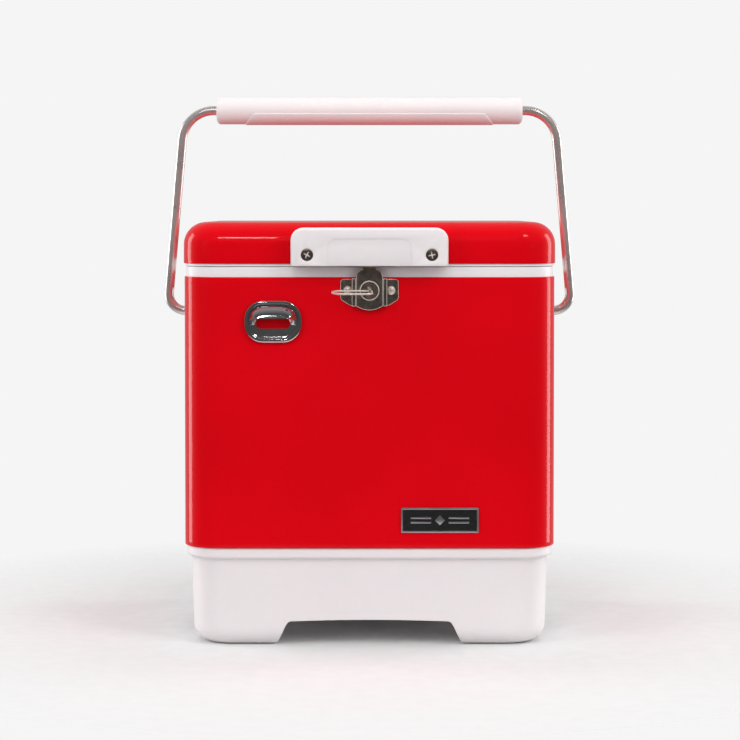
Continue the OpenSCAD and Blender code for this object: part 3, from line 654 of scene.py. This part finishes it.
def beltSeam(sizes):
    # the overlap strip up the back, with soft edges
    half = sizes["seamWidth"] / 2
    outline = [(-half, beltLow.z + 0.4 * mm), (half, beltLow.z + 0.4 * mm),
               (half, beltHigh.z - 0.4 * mm), (-half, beltHigh.z - 0.4 * mm)]
    return frontPlate("belt_seam", outline, backY - 0.3 * mm, backY + 0.8 * mm, [enamel], 0.45 * mm)


shown(beltSeam(beltSizes), "chest", "belt_paint")

tubSizes = millimetres(rimCorner=33.5, tubCorner=24, lip=1.2, mouthEdge=2.5, floorEdge=14, wall=2.5,
    width=288, depth=224)


def innerTub(sizes):
    # from the rim's outside over the flat rim, down the wall and across the floor
    halfW, halfD = sizes["width"] / 2, sizes["depth"] / 2
    rimInset = 1.5 * mm
    outW, outD = (beltHigh.x - beltLow.x) / 2 - rimInset, -frontY + midY - rimInset
    topZ, floorZ = tubHigh.z, tubLow.z + sizes["wall"]
    lip, mouth, edge = sizes["lip"], sizes["mouthEdge"], sizes["floorEdge"]
    rings = [levelRing(outW, outD, sizes["rimCorner"], beltHigh.z - 6 * mm),
             levelRing(outW, outD, sizes["rimCorner"], beltHigh.z + 1 * mm)]
    for i, down in fillet(lip, 5):
        rings.append(levelRing(outW - i, outD - i, sizes["rimCorner"] - i, topZ - down))
    for i, down in fillet(mouth, 5, 90, 0):
        rings.append(levelRing(halfW + i, halfD + i, sizes["tubCorner"] + i, topZ - down))
    rings.append(levelRing(halfW, halfD, sizes["tubCorner"], topZ - 12 * mm))
    for i, down in fillet(edge, 7):
        rings.append(levelRing(halfW - i, halfD - i, sizes["tubCorner"] - i, floorZ + down))
    rings.append(levelRing(halfW - edge - 4 * mm, halfD - edge - 4 * mm, sizes["tubCorner"] - edge, floorZ))
    return skinRings(rings, capEnd=True)


vertices, faces = innerTub(tubSizes)
shown(meshPiece("tub_and_rim", vertices, faces, [linerPlastic]), "chest", "liner_plastic", "inner_liner")
print("belt and tub made")


# the base
baseSizes = millimetres(lipHeight=9.7, lipCorner=33.5, wallInset=6.25, wallCorner=31, draft=1.5, edge=18,
    archHalf=89, archHeight=24.6, archRun=15.7, crown=1.4)


def archHeight(sizes, along, half):
    # height of the arch's underside: an S-shaped end, then a crowned top
    shoulder = sizes["archHeight"] - sizes["crown"]
    inwards = half - abs(along)
    if inwards <= 0:
        return 0.0
    if inwards < sizes["archRun"]:
        return shoulder * (1 - cos(pi * inwards / sizes["archRun"])) / 2
    share = along / (half - sizes["archRun"])
    return shoulder + sizes["crown"] * (1 - share * share)


def baseShell(sizes):
    # a skin of columns round the base: lip, wall, rounded foot, then the arched underside
    halfW, halfD = (beltHigh.x - beltLow.x) / 2, -frontY + midY
    sideHalf = sizes["archHalf"] - (halfW - halfD)
    run = sizes["archRun"]

    def stops(half):
        ends = [half - run * k / 10 for k in range(-1, 11)]
        inner = [(half - run) * k / 6 for k in range(6)]
        return sorted({round(s * x, 9) for x in ends + inner for s in (-1, 1)})

    lists = {"stopsX": stops(sizes["archHalf"]), "stopsY": stops(sideHalf)}

    def ring(inset, corner):
        return roundLoop(halfW - inset, halfD - inset, max(corner, 2 * mm), 12, **lists)

    lipLow = beltLow.z - sizes["lipHeight"]
    wall, draft, edge = sizes["wallInset"], sizes["draft"], sizes["edge"]
    upper = [(4 * mm, beltLow.z + 2 * mm, 31 * mm), (2.4 * mm, beltLow.z, sizes["lipCorner"]),
             (1.9 * mm, beltLow.z - 0.2 * mm, sizes["lipCorner"]),
             (1.7 * mm, beltLow.z - 0.8 * mm, sizes["lipCorner"]), (1.7 * mm, lipLow + 3 * mm, 33 * mm)]
    for t in arcSteps(5):
        upper.append((1.7 * mm + 2.2 * mm * (1 - cos(t)), lipLow + 2.6 * mm * (1 - sin(t)), 33 * mm))
    upper += [(wall - 1.6 * mm, lipLow - 0.3 * mm, 31.5 * mm), (wall - 0.4 * mm, lipLow - 1.3 * mm, 31 * mm)]
    rings = []
    for inset, z, corner in upper:
        rings.append([Vector((x, midY + y, z)) for x, y in ring(inset, corner)])
    flat = ring(wall + draft, sizes["wallCorner"])
    count, steps = len(flat), 14
    deep = ring(wall + draft + edge, sizes["wallCorner"] - edge / 2)

    def underside(x, y):
        return max(archHeight(sizes, x, sizes["archHalf"]), archHeight(sizes, y, sideHalf))

    # the wall ends at the rounded foot, or at the arch where that is higher
    roofs = [underside(x, y) for x, y in flat]
    for k in range(7):
        share = k / 7
        level = []
        for (x, y), roof in zip(ring(wall + draft * share, sizes["wallCorner"]), roofs):
            z = (lipLow - 3 * mm) * (1 - share) + max(edge, roof) * share
            level.append(Vector((x, midY + y, z)))
        rings.append(level)
    for k in range(steps + 1):
        level = []
        for i in range(count):
            turn = asin(max(0.0, 1 - roofs[i] / edge)) * k / steps
            share = 1 - cos(turn)
            x = flat[i][0] + (deep[i][0] - flat[i][0]) * share
            y = flat[i][1] + (deep[i][1] - flat[i][1]) * share
            level.append(Vector((x, midY + y, max(edge * (1 - sin(turn)), roofs[i]))))
        rings.append(level)

    # then inwards under the arches to the middle
    first = wall + draft + edge
    runs = [first + 3 * mm, first + 12 * mm, first + 24 * mm]
    armInset = halfW - sizes["archHalf"]
    runs += [armInset - 1 * mm] + [armInset + run * k / 10 for k in range(11)] + [halfD - 20 * mm]
    for inset in runs:
        level = []
        for x, y in ring(inset, max(13 * mm - (inset - first), 1 * mm)):
            level.append(Vector((x, midY + y, underside(x, y))))
        rings.append(level)
    return skinRings(rings, capEnd=True)


vertices, faces = baseShell(baseSizes)
base = meshPiece("base_moulding", vertices, faces, [basePlastic], 28.0)
base = bevelled(base, 1.1 * mm, 3, 38.0)
shown(base, "chest", "base_plastic", "base_shell")
print("base made")


# the lift handle on the lid
liftLow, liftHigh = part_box("lift_handle")
liftSizes = millimetres(corner=11.5, lowCorner=1.6, edge=2.6, wall=3, panelHalf=38.5, panelTop=378,
    panelDepth=0.55, panelCorner=9, screwX=57, screwZ=363.2, headRadius=5.85)


def liftOutline(sizes, inset, drop=0.0):
    half, top, low = liftHigh.x - inset, liftHigh.z - inset, liftLow.z - drop
    corner, small = sizes["corner"] - inset, sizes["lowCorner"] if not drop else 0.3 * mm
    points = []
    corners = [(half - corner, top - corner, corner, 0), (corner - half, top - corner, corner, 90),
               (small - half, low + small, small, 180), (half - small, low + small, small, 270)]
    for cx, cz, radius, start in corners:
        for t in arcSteps(10 if radius > 3 * mm else 4, start, start + 90):
            points.append((cx + radius * cos(t), cz + radius * sin(t)))
    return points


def liftHandle(sizes):
    rings = []
    for out, inset in fillet(sizes["edge"], 7):
        rings.append([Vector((x, liftLow.y + out, z)) for x, z in liftOutline(sizes, inset)])
    rings.append([Vector((x, lidLow.y + 24 * mm, z)) for x, z in liftOutline(sizes, 0)])
    vertices, faces = skinRings(rings, True, True)
    body = meshPiece("lift_grip", vertices, faces, [handlePlastic])
    wall = sizes["wall"]
    outline = liftOutline(sizes, wall, 6 * mm)
    carve(body, frontPlate("hollow", outline, liftLow.y + wall, lidLow.y + 40 * mm, [], 0))
    panelLow = liftLow.z - 30 * mm
    outline = loopXZ(0, (sizes["panelTop"] + panelLow) / 2, sizes["panelHalf"],
                     (sizes["panelTop"] - panelLow) / 2, sizes["panelCorner"])
    carve(body, frontPlate("panel", outline, liftLow.y - 5 * mm, liftLow.y + sizes["panelDepth"], [], 0))
    for side in (-1, 1):
        place = (side * sizes["screwX"], liftLow.y - 1 * mm, sizes["screwZ"])
        sink = [(0, sizes["headRadius"] + 0.5 * mm), (1.6 * mm, sizes["headRadius"] + 0.2 * mm)]
        carve(body, turned("sink", sink,
                           place, (0, 1, 0), []))
    rings = lidRings(lidSizes, lidLow, lidHigh, lidLow.z - 20 * mm)
    vertices, faces = skinRings(rings, True, True)
    carve(body, meshPiece("lidCutter", vertices, faces, []))
    return bevelled(body, 0.35 * mm, 2, 40.0)


shown(liftHandle(liftSizes), "lid", "handle_plastic", "lift_handle")


def liftPosts(sizes):
    # the two moulded posts that the screws pull against
    posts = []
    for side in (-1, 1):
        place = (side * sizes["screwX"], liftLow.y + 2 * mm, sizes["screwZ"])
        profile = [(0, 6.4 * mm), (12.9 * mm, 6.1 * mm)]
        posts.append(turned("post", profile, place, (0, 1, 0), [handlePlastic]))
    return joined("lift_posts", posts)


shown(liftPosts(liftSizes), "lid", "handle_plastic")
places = frontScrews(liftSizes["screwX"], liftLow.y + 0.5 * mm, liftSizes["screwZ"])
screwHeads("lift_screw_heads", places, bronze, "lid", "antique_screw", "lift_handle_screws",
           (5.75, 0.75, 6.4, 1.25, -0.55))
print("lift handle made")


# the bail
rodLow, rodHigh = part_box("bail_rod")
bailSizes = millimetres(radius=4.5, legLow=196.2, legHigh=183.1, bendTop=31, bendLow=16, end=160.7)


def bailPath(sizes):
    # pivot end, low bend, splayed leg, top bend, and the same again mirrored
    pivotZ, topZ = rodLow.z + sizes["radius"], rodHigh.z - sizes["radius"]
    y = (rodLow.y + rodHigh.y) / 2
    low = Vector((sizes["legLow"] - sizes["bendLow"], pivotZ + sizes["bendLow"]))
    top = Vector((sizes["legHigh"] - sizes["bendTop"], topZ - sizes["bendTop"]))
    gap = top - low
    lean = atan2(-gap.x, gap.y) - asin((sizes["bendTop"] - sizes["bendLow"]) / gap.length)
    half = [(sizes["end"], pivotZ)]
    half += [(low.x + sizes["bendLow"] * cos(t), low.y + sizes["bendLow"] * sin(t))
             for t in arcSteps(16, -90, degrees(lean))]
    half += [(top.x + sizes["bendTop"] * cos(t), top.y + sizes["bendTop"] * sin(t))
             for t in arcSteps(16, degrees(lean), 90)]
    right = [Vector((x, y, z)) for x, z in half]
    left = [Vector((-x, y, z)) for x, z in reversed(half)]
    return right + left


rod = grown("bail_bar", pathSeed(bailPath(bailSizes)), rods, bailChrome,
            {"Radius": bailSizes["radius"], "Sides": 40})
shown(rod, "bail", "bail_chrome", "bail_rod")

gripLow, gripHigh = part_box("grip_shell")
gripSizes = millimetres(radius=13.35, endRound=4.2, panelRadius=13.5, panelHalf=112, panelTop=-3.2)
panelSlant = 0.85  # sideways for each unit down
gripMid = (gripLow + gripHigh) / 2


def gripTube(sizes):
    half, radius, edge = gripHigh.x, sizes["radius"], sizes["endRound"]
    rim = [(half - down, radius - i) for i, down in fillet(edge, 8)]
    rim += [(half, radius - edge - 2 * mm), (half - 0.6 * mm, 5.2 * mm), (half - 3 * mm, 4.9 * mm)]
    profile = [(-a, r) for a, r in reversed(rim)] + rim
    return turned("grip_tube", profile, gripMid, (1, 0, 0), [gripPlastic], 72)


def gripPanel(sizes):
    # a thin wrap let into the underside, its ends slanting outwards as they go down
    radius = sizes["panelRadius"]
    start = asin(sizes["panelTop"] / radius)
    rows, columns, steps = [], 40, 34
    for k in range(steps + 1):
        turn = -pi - start + (pi + 2 * start) * k / steps
        depth = sizes["panelTop"] - radius * sin(turn)
        reach = sizes["panelHalf"] + panelSlant * depth
        rows.append([gripMid + Vector((reach * (2 * j / columns - 1), radius * cos(turn), radius * sin(turn)))
                     for j in range(columns + 1)])
    return bentSheet("grip_panel", rows, gripPlastic, 1.2 * mm, 0.45 * mm, 3)


shown(gripTube(gripSizes), "bail", "grip_plastic", "grip_shell")
shown(gripPanel(gripSizes), "bail", "grip_plastic", "grip_insert")
print("bail made")


# the latch
plateLow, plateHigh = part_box("catch_plate")
flapLow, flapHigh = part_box("hasp_flap")
latchSizes = millimetres(sheet=1.2, edge=0.45, railIn=12.5, railOut=16.2, railTop=341.4, wingOut=26.7,
    wingTop=340.8, wingLow=316.6, shoulder=342.6, neck=6.8, bow=3.7, lockZ=330.3, windowHalf=8.5,
    screwX=19.7)


def mirrored(outline):
    return [(-x, z) for x, z in reversed(outline)]


def catchPlate(sizes):
    # two wings, a back sheet, and two rails with a window through each
    y = frontY
    wing = [(sizes["railOut"] - 1 * mm, sizes["wingLow"]), (18 * mm, sizes["wingLow"]),
            (sizes["wingOut"] - 1.2 * mm, 321.3 * mm), (sizes["wingOut"], 323.2 * mm),
            (sizes["wingOut"], sizes["wingTop"] - 3 * mm)]
    wing += [(sizes["wingOut"] - i, sizes["wingTop"] - down) for i, down in fillet(3 * mm, 5)]
    wing += [(sizes["railOut"] - 1 * mm, sizes["wingTop"])]
    parts = []
    for outline in (wing, mirrored(wing)):
        # the wings' rounded edges take the painted-highlight nickel: a painted highlight along each edge
        parts.append(frontPlate("wing", outline, y - sizes["sheet"], y, [nickel, paintedHighlightNickel], sizes["edge"],
                                3, 1))
    back = loopXZ(0, (plateLow.z + plateHigh.z) / 2, sizes["railOut"] - 0.5 * mm,
                  (plateHigh.z - plateLow.z) / 2 - 0.6 * mm, 1 * mm)
    parts.append(frontPlate("back", back, y - 1.0 * mm, y, [nickel], 0))
    for side in (-1, 1):
        low = (min(side * sizes["railIn"], side * sizes["railOut"]), plateLow.y, plateLow.z)
        high = (max(side * sizes["railIn"], side * sizes["railOut"]), y - 0.2 * mm, sizes["railTop"])
        rail = block("rail", low, high)
        rail.data.materials.append(nickel)
        rail.data.materials.append(paintedHighlightNickel)
        window = block("window", (low[0] - 1 * mm, y - 4.1 * mm, sizes["lockZ"] - sizes["windowHalf"]),
                       (high[0] + 1 * mm, y - 1.3 * mm, sizes["lockZ"] + sizes["windowHalf"]))
        carve(rail, window)
        # the rails' rounded edges take the painted-highlight nickel: a painted highlight along each edge
        parts.append(bevelled(rail, 0.75 * mm, 4, 40.0, 1))
    return joined("catch_wings", parts)


def haspFlap(sizes):
    # a narrow neck that swells to square shoulders and ends in a bowed foot
    half, top, low = (flapHigh.x - flapLow.x) / 2, flapHigh.z - 2 * mm, flapLow.z
    neck, shoulder = sizes["neck"], sizes["shoulder"]
    right = []
    for k in range(9):
        x = -half + 2 * half * (k / 8)
        right.append((x, low + sizes["bow"] * (x / half) ** 2))
    rise = 7.0 * mm
    side = [(half - (half - neck) * (1 - cos(t)), shoulder + rise * sin(t)) for t in arcSteps(8)]
    outline = right + side + [(neck, top), (-neck, top)] + mirrored(side)
    # the leaf's rounded edges take the painted-highlight nickel: a painted highlight along each edge
    flap = frontPlate("hasp_leaf", outline, flapLow.y + 1.4 * mm, flapLow.y + 2.9 * mm,
                      [nickel, paintedHighlightNickel], 0.5 * mm, 4, 1, 24.0)
    knuckle = turned("knuckle", [(-neck + 0.1 * mm, 1.4 * mm), (-neck + 0.4 * mm, 1.95 * mm),
                                 (neck - 0.4 * mm, 1.95 * mm), (neck - 0.1 * mm, 1.4 * mm)],
                     (0, frontY - 5 * mm, 353.5 * mm), (1, 0, 0), [nickel], 24)
    return joined("hasp_leaf", [flap, knuckle])


def turnKnob(sizes):
    # a stamped disc with a raised ring, a centre boss, and a finger lug with an eye
    y = frontY - 5.7 * mm
    profile = [(0.0, 9.2), (0.9, 9.4), (1.35, 9.1), (1.5, 8.6), (1.42, 8.1), (0.95, 7.7), (0.9, 7.1),
               (1.25, 6.7), (1.3, 6.2), (1.0, 5.7), (0.95, 3.2), (1.35, 2.6), (1.5, 0.6), (1.5, 0.0)]
    profile = [(along * mm, radius * mm) for along, radius in profile]
    disc = turned("disc", profile, (0, y, sizes["lockZ"]), (0, -1, 0), [nickel], 64)
    rimFinish(disc, y - 1.25 * mm)
    lug = [(y - 1.2 * mm, -3.9 * mm), (y - 1.2 * mm, 3.9 * mm)]
    lug += [(frontY - 11 * mm - 3.9 * mm * cos(t), 3.9 * mm * sin(t)) for t in arcSteps(14, 90, -90)]
    vertices = [(x, py, sizes["lockZ"] + pz) for x in (-0.8 * mm, 0.8 * mm) for py, pz in lug]
    n = len(lug)
    faces = [tuple(range(n)), tuple(reversed(range(n, 2 * n)))]
    faces += [(i, (i + 1) % n, n + (i + 1) % n, n + i) for i in range(n)]
    ear = meshPiece("ear", vertices, faces, [nickel, paintedHighlightNickel])
    carve(ear, turned("eye", [(-3 * mm, 2.3 * mm), (3 * mm, 2.3 * mm)],
                      (0, frontY - 11 * mm, sizes["lockZ"]), (1, 0, 0), [], 32))
    # the lug's rounded edges take the painted-highlight nickel: a painted highlight along each edge
    bevelled(ear, 0.3 * mm, 2, 40.0, 1)
    return joined("turn_disc", [disc, ear])


def rimFinish(piece, y):
    # the raised ring of the disc takes the painted-highlight nickel: a painted highlight, not rubbed wear
    piece.data.materials.append(paintedHighlightNickel)
    for face in piece.data.polygons:
        out = Vector((face.center.x, face.center.z - latchSizes["lockZ"])).length
        if face.center.y < y and out > 7.6 * mm:
            face.material_index = 1


def ringPath():
    # a wire loop in its own plane, tilted down a little about the eye
    endRadius, corner, x0, x1 = 10.5 * mm, 4 * mm, -23.5 * mm, 2.4 * mm
    flat = [(x1 - corner + corner * cos(t), -corner + corner * sin(t)) for t in arcSteps(6, 90, 0)]
    flat += [(x1 - corner + corner * cos(t), -2 * endRadius + corner + corner * sin(t))
             for t in arcSteps(6, 0, -90)]
    flat += [(x0 + endRadius * cos(t), -endRadius + endRadius * sin(t)) for t in arcSteps(24, 270, 90)]
    tilt = radians(6)
    return [Vector((x, frontY - 11 * mm + v * cos(tilt), latchSizes["lockZ"] + v * sin(tilt)))
            for x, v in flat]


shown(catchPlate(latchSizes), "chest", "dark_nickel", "catch_plate")
shown(haspFlap(latchSizes), "hasp", "dark_nickel", "hasp_flap")
shown(turnKnob(latchSizes), "knob", "dark_nickel", "turn_knob")
# the pull ring is in the painted-highlight nickel, so its brightness is partly painted highlight
ring = grown("ring_wire", pathSeed(ringPath(), True), rods, paintedHighlightNickel, {"Radius": 0.88 * mm, "Sides": 16})
shown(ring, "ring", "screw_nickel", "pull_ring")
places = frontScrews(latchSizes["screwX"], frontY - latchSizes["sheet"], latchSizes["lockZ"])
# the catch screw heads are in the painted-highlight nickel, so their brightness is partly painted highlight
screwHeads("catch_screw_heads", places, paintedHighlightNickel, "chest", "screw_nickel", "catch_screws",
           (4.3, 2.3, 4.2, 0.8, 1.2))
print("latch made")


# the bottle opener
openLow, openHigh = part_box("bottle_opener")
openerSizes = millimetres(corner=17.5, slotHalf=15.5, slotHalfHeight=4.8, slotZ=-1.6, slotCorner=3.6,
    sheet=1.1)
openMid = (openLow + openHigh) / 2


def openerPoint(x, y, z):
    return Vector((openMid.x + x, frontY + y, openMid.z + z))


def openerDish(sizes):
    # a rolled oval rim that falls to a bowl with a slot cut in it
    halfW, halfH, corner = (openHigh.x - openLow.x) / 2, (openHigh.z - openLow.z) / 2, sizes["corner"]
    steps = [(0.15, 0.0), (0.0, -0.5), (0.0, -1.7), (0.35, -2.9), (1.1, -3.7), (2.1, -4.0), (3.1, -3.8),
             (4.0, -3.2), (4.9, -2.5), (6.0, -2.0)]
    rings = []
    for inset, y in steps:
        i = inset * mm
        rings.append([openerPoint(px, y * mm, pz) for px, pz in
                      roundLoop(halfW - i, halfH - i, corner - i, 12)])
    for share, y in ((0.35, -1.6), (0.7, -1.2), (1.0, -1.0), (1.0, -0.15)):
        w = (halfW - 6 * mm) * (1 - share) + sizes["slotHalf"] * share
        h = (halfH - 6 * mm) * (1 - share) + sizes["slotHalfHeight"] * share
        c = (corner - 6 * mm) * (1 - share) + sizes["slotCorner"] * share
        rings.append([openerPoint(px, y * mm, sizes["slotZ"] * share + pz)
                      for px, pz in roundLoop(w, h, c, 12)])
    vertices, faces = skinRings(rings)
    return meshPiece("opener_dish", vertices, faces, [chrome], 50.0)


def openerHood(sizes):
    # a brow that starts under the rim, swells outwards and ends in a straight lip over the slot
    columns, steps = 44, 16
    rows = []
    for k in range(steps + 1):
        v = k / steps
        rows.append([])
        for j in range(columns + 1):
            turn = pi * (1 - j / columns)
            c, s = cos(turn), sin(turn)
            root = Vector((22.4 * copysign(abs(c) ** 0.7, c), -2.3, -3.4 + 18.4 * s ** 0.55))
            lipX = 16.4 * copysign(abs(c) ** 0.7, c)
            lipZ = -2.4 + 5.4 * min(1.0, s * 1.9) ** 1.6
            lipY = -4.6 - 7.0 * min(1.0, s * 1.7) ** 1.3
            lip = Vector((lipX, lipY, lipZ))
            swell = Vector((root.x * 0.8 + lip.x * 0.2, lip.y * 0.75 + root.y * 0.25 - s,
                            root.z * 0.6 + lip.z * 0.4))
            point = root * (1 - v) ** 2 + swell * 2 * v * (1 - v) + lip * v * v
            rows[-1].append(openerPoint(point.x * mm, point.y * mm, point.z * mm))
    return bentSheet("opener_hood", rows, chrome, sizes["sheet"], 0.3 * mm, 2, 60.0)


shown(joined("opener_plate", [openerDish(openerSizes), openerHood(openerSizes)]),
      "chest", "chrome_plate", "bottle_opener")
print("opener made")


# the badge
badgeLow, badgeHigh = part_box("badge_plate")
badgeSizes = millimetres(rim=1.7, corner=0.9, edge=0.4, barHalf=9.5, barStep=2.1, barHalfHeight=0.8,
    lozenge=4.6)
badgeMid = (badgeLow + badgeHigh) / 2


def badgeFrame(sizes):
    halfW, halfH = (badgeHigh.x - badgeLow.x) / 2, (badgeHigh.z - badgeLow.z) / 2
    rim = sizes["rim"]
    outer = frontPlate("badge_frame", loopXZ(badgeMid.x, badgeMid.z, halfW, halfH, sizes["corner"]),
                       badgeLow.y, frontY, [silver], 0)
    carve(outer, frontPlate("inner", loopXZ(badgeMid.x, badgeMid.z, halfW - rim, halfH - rim, 0.4 * mm),
                            badgeLow.y - 1 * mm, frontY + 1 * mm, [], 0))
    return bevelled(outer, sizes["edge"], 3, 40.0)


def badgeOrnament(sizes):
    # a lozenge between two pairs of bars, in place of any lettering
    y0, y1 = badgeLow.y + 0.1 * mm, badgeLow.y + 0.8 * mm
    g = sizes["lozenge"]
    marks = [frontPlate("lozenge", [(badgeMid.x, badgeMid.z - g), (badgeMid.x + g, badgeMid.z),
                                    (badgeMid.x, badgeMid.z + g), (badgeMid.x - g, badgeMid.z)],
                        y0, y1, [silver], 0.25 * mm)]
    for side in (-1, 1):
        for up in (-1, 1):
            x = badgeMid.x + side * (sizes["barHalf"] + 8 * mm)
            outline = loopXZ(x, badgeMid.z + up * sizes["barStep"], sizes["barHalf"], sizes["barHalfHeight"],
                             0.5 * mm, 4)
            marks.append(frontPlate("bar", outline, y0, y1, [silver], 0.2 * mm, 2))
    return joined("badge_marks", marks)


shown(badgeFrame(badgeSizes), "chest", "badge_silver", "badge_plate")
shown(badgeOrnament(badgeSizes), "chest", "badge_silver", "badge_ornament")
print("badge made")


# the bail's pivots: plates, bosses, bushes and retainers
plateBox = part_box("pivot_plate_right")
pivotSizes = millimetres(halfDepth=22, halfHeight=20, corner=12, sheet=2.3, bossRadius=9.5, boreRadius=6.9,
    pivotZ=305.7)


def pivotPlate(sizes, side):
    # an oval plate lying on the belt with a turned boss, open where the bush goes
    face = side * (beltHigh.x - 0.3 * mm)
    top = side * (beltHigh.x + sizes["sheet"])
    outline = roundLoop(sizes["halfDepth"], sizes["halfHeight"], sizes["corner"], 10)
    rings = []
    for x, inset in ((face, 0), (top - side * 0.9 * mm, 0), (top - side * 0.35 * mm, 0.25 * mm),
                     (top, 0.9 * mm)):
        scaleY = 1 - inset / sizes["halfDepth"]
        scaleZ = 1 - inset / sizes["halfHeight"]
        rings.append([Vector((x, midY + a * scaleY, sizes["pivotZ"] + b * scaleZ)) for a, b in outline])
    boss, out = sizes["bossRadius"], plateBox[1].x * side
    steps = [(top, boss + 1.6 * mm), (top + side * 0.5 * mm, boss + 0.5 * mm), (top + side * 1.6 * mm, boss),
             (out - side * 0.8 * mm, boss), (out - side * 0.2 * mm, boss - 0.3 * mm), (out, boss - 0.9 * mm),
             (out, sizes["boreRadius"] + 0.4 * mm), (out - side * 0.5 * mm, sizes["boreRadius"]),
             (face, sizes["boreRadius"])]
    angles = [atan2(b, a) for a, b in outline]
    for x, radius in steps:
        rings.append([Vector((x, midY + radius * cos(t), sizes["pivotZ"] + radius * sin(t)))
                      for t in angles])
    vertices, faces = skinRings(rings)
    return meshPiece("pivot_oval", vertices, faces, [chrome], 32.0)


for side, word in ((1, "right"), (-1, "left")):
    shown(pivotPlate(pivotSizes, side), "chest", "chrome_plate", "pivot_plate_" + word)

places = []
for low, high in solidBoxes("pivot_plate_screws"):
    side = 1 if low.x > 0 else -1
    seat = Vector((side * (beltHigh.x + 2.2 * mm), (low.y + high.y) / 2, (low.z + high.z) / 2))
    places.append((seat, (side, 0, 0)))
# the pivot screw heads are in the painted-highlight nickel, so their brightness is partly painted highlight
screwHeads("pivot_screw_heads", places, paintedHighlightNickel, "chest", "screw_nickel", "pivot_plate_screws",
           (3.4, 1.9, 3.9, 0.85, 0.7))
print("pivots made")


# every piece the frame still shows takes a finish
slotFinishes = {
    "base_plastic": basePlastic, "belt_paint": enamel, "rivet_steel": zinc, "liner_plastic": linerPlastic,
    "foam": cellFoam, "chrome_plate": chrome, "badge_silver": silver, "badge_black": black,
    "dark_nickel": nickel, "screw_nickel": paintedHighlightNickel, "hinge_steel": zinc,
    "handle_plastic": handlePlastic, "antique_screw": bronze, "bush_nylon": nylon,
    "bail_chrome": bailChrome, "grip_plastic": gripPlastic}
for entry in frame["record"]["subparts"]:
    data = frame["nodes"][entry["node"]].data
    data.materials.clear()
    data.materials.append(slotFinishes[entry["material_slot"]])
print("finishes given to the rest")


# floor, backdrop light and lamps, in metres
floorRadius, fadeStart, fadeEnd = 1.4, 0.26, 0.60
cameraBack, cameraHeight, cameraPitch = 2.100, 0.406, radians(88)


def paleFloor():
    # a pale disc that fades out into the backdrop
    material, field, shader, where = newFinish("paleFloor", Roughness=0.75)
    grain = speckle(field, where, 60.0, 3.0)
    feed(ramped(field, grain, [(0.3, (0.76, 0.76, 0.76)), (0.7, (0.80, 0.80, 0.80))]), shader, "Base Color")
    away = field.make("ShaderNodeVectorMath", {"operation": "LENGTH"}, {0: where}, 1)
    feed(field.make("ShaderNodeMapRange", {}, {"Value": away, "From Min": fadeStart, "From Max": fadeEnd,
                                               "To Min": 1.0, "To Max": 0.0}), shader, "Alpha")
    return material


floorRing = [Vector((floorRadius * cos(t), floorRadius * sin(t), 0.0)) for t in arcSteps(64, 0, 354.4)]
floorPiece = meshPiece("floor", floorRing, [tuple(range(len(floorRing)))], [paleFloor()])


def backdrop():
    # the camera sees a near-white backdrop, the pieces are lit by a softer grey, and shiny ones
    # mirror a room that is dim at the front and bright at the back and overhead
    world = bpy.data.worlds.new("studio")
    bpy.context.scene.world = world
    world.use_nodes = True
    tree = world.node_tree
    tree.nodes.clear()
    field = Field(tree)
    seen = field.make("ShaderNodeLightPath")
    shiny = Field(tree, seen.socket.node.outputs["Is Glossy Ray"])
    away = field.make("ShaderNodeTexCoord")
    back = field.make("ShaderNodeSeparateXYZ", {}, {"Vector": away}, 1)
    up = field.make("ShaderNodeSeparateXYZ", {}, {"Vector": away}, 2)
    stops = [(0.42, (0.075, 0.075, 0.075)), (0.85, (0.5, 0.5, 0.5))]
    room = ramped(field, back * 0.4 + up * 0.18 + 0.5, stops)
    shades = []
    for colour in ((0.36, 0.36, 0.365, 1), room, (0.913, 0.913, 0.913, 1)):
        shades.append(field.make("ShaderNodeBackground", {}, {"Color": colour, "Strength": 1.0}))
    mix = field.make("ShaderNodeMixShader", {}, {0: shiny, 1: shades[0], 2: shades[1]})
    mix = field.make("ShaderNodeMixShader", {}, {0: seen, 1: mix, 2: shades[2]})
    out = tree.nodes.new("ShaderNodeOutputWorld")
    tree.links.new(mix.socket, out.inputs["Surface"])


middle = Vector((0.0, 0.0, 0.22))  # where the lamps point


def softbox(name, place, width, height, power):
    data = bpy.data.lights.new(name, "AREA")
    data.shape, data.size, data.size_y = "RECTANGLE", width, height
    data.energy = power
    lamp = linked(name, data)
    lamp.location = place
    lamp.rotation_euler = (middle - Vector(place)).to_track_quat("-Z", "Y").to_euler()
    return lamp


backdrop()
lamps = [
    softbox("softLeft", (-1.5, -1.25, 1.0), 0.9, 1.3, 13),
    softbox("softRight", (1.5, -1.25, 1.0), 0.9, 1.3, 13),
    softbox("softTop", (0.0, -0.1, 2.0), 1.6, 1.2, 11),
    softbox("softFront", (0.0, -2.6, 1.9), 1.6, 0.7, 10)]
for lamp in lamps:
    lamp.visible_glossy = False
lamps += [
    softbox("keyLeft", (-0.40, -1.85, 1.67), 0.30, 0.16, 4),
    softbox("keyRight", (0.93, -1.41, 1.91), 0.34, 0.18, 5),
    softbox("stripLeft", (-1.45, 0.45, 0.45), 0.45, 1.3, 10),
    softbox("stripRight", (1.45, 0.45, 0.45), 0.45, 1.3, 10)]
cameraData = bpy.data.cameras.new("camera")
cameraData.lens, cameraData.sensor_width = 111.3, 36
cameraData.shift_x, cameraData.shift_y = 0.0007, -0.111
camera = linked("camera", cameraData)
camera.location = (0.0, frontY - cameraBack, cameraHeight)
camera.rotation_euler = (cameraPitch, 0.0, 0.0)
bpy.context.scene.camera = camera
bpy.context.scene.view_settings.view_transform = "Standard"
print("stage set")
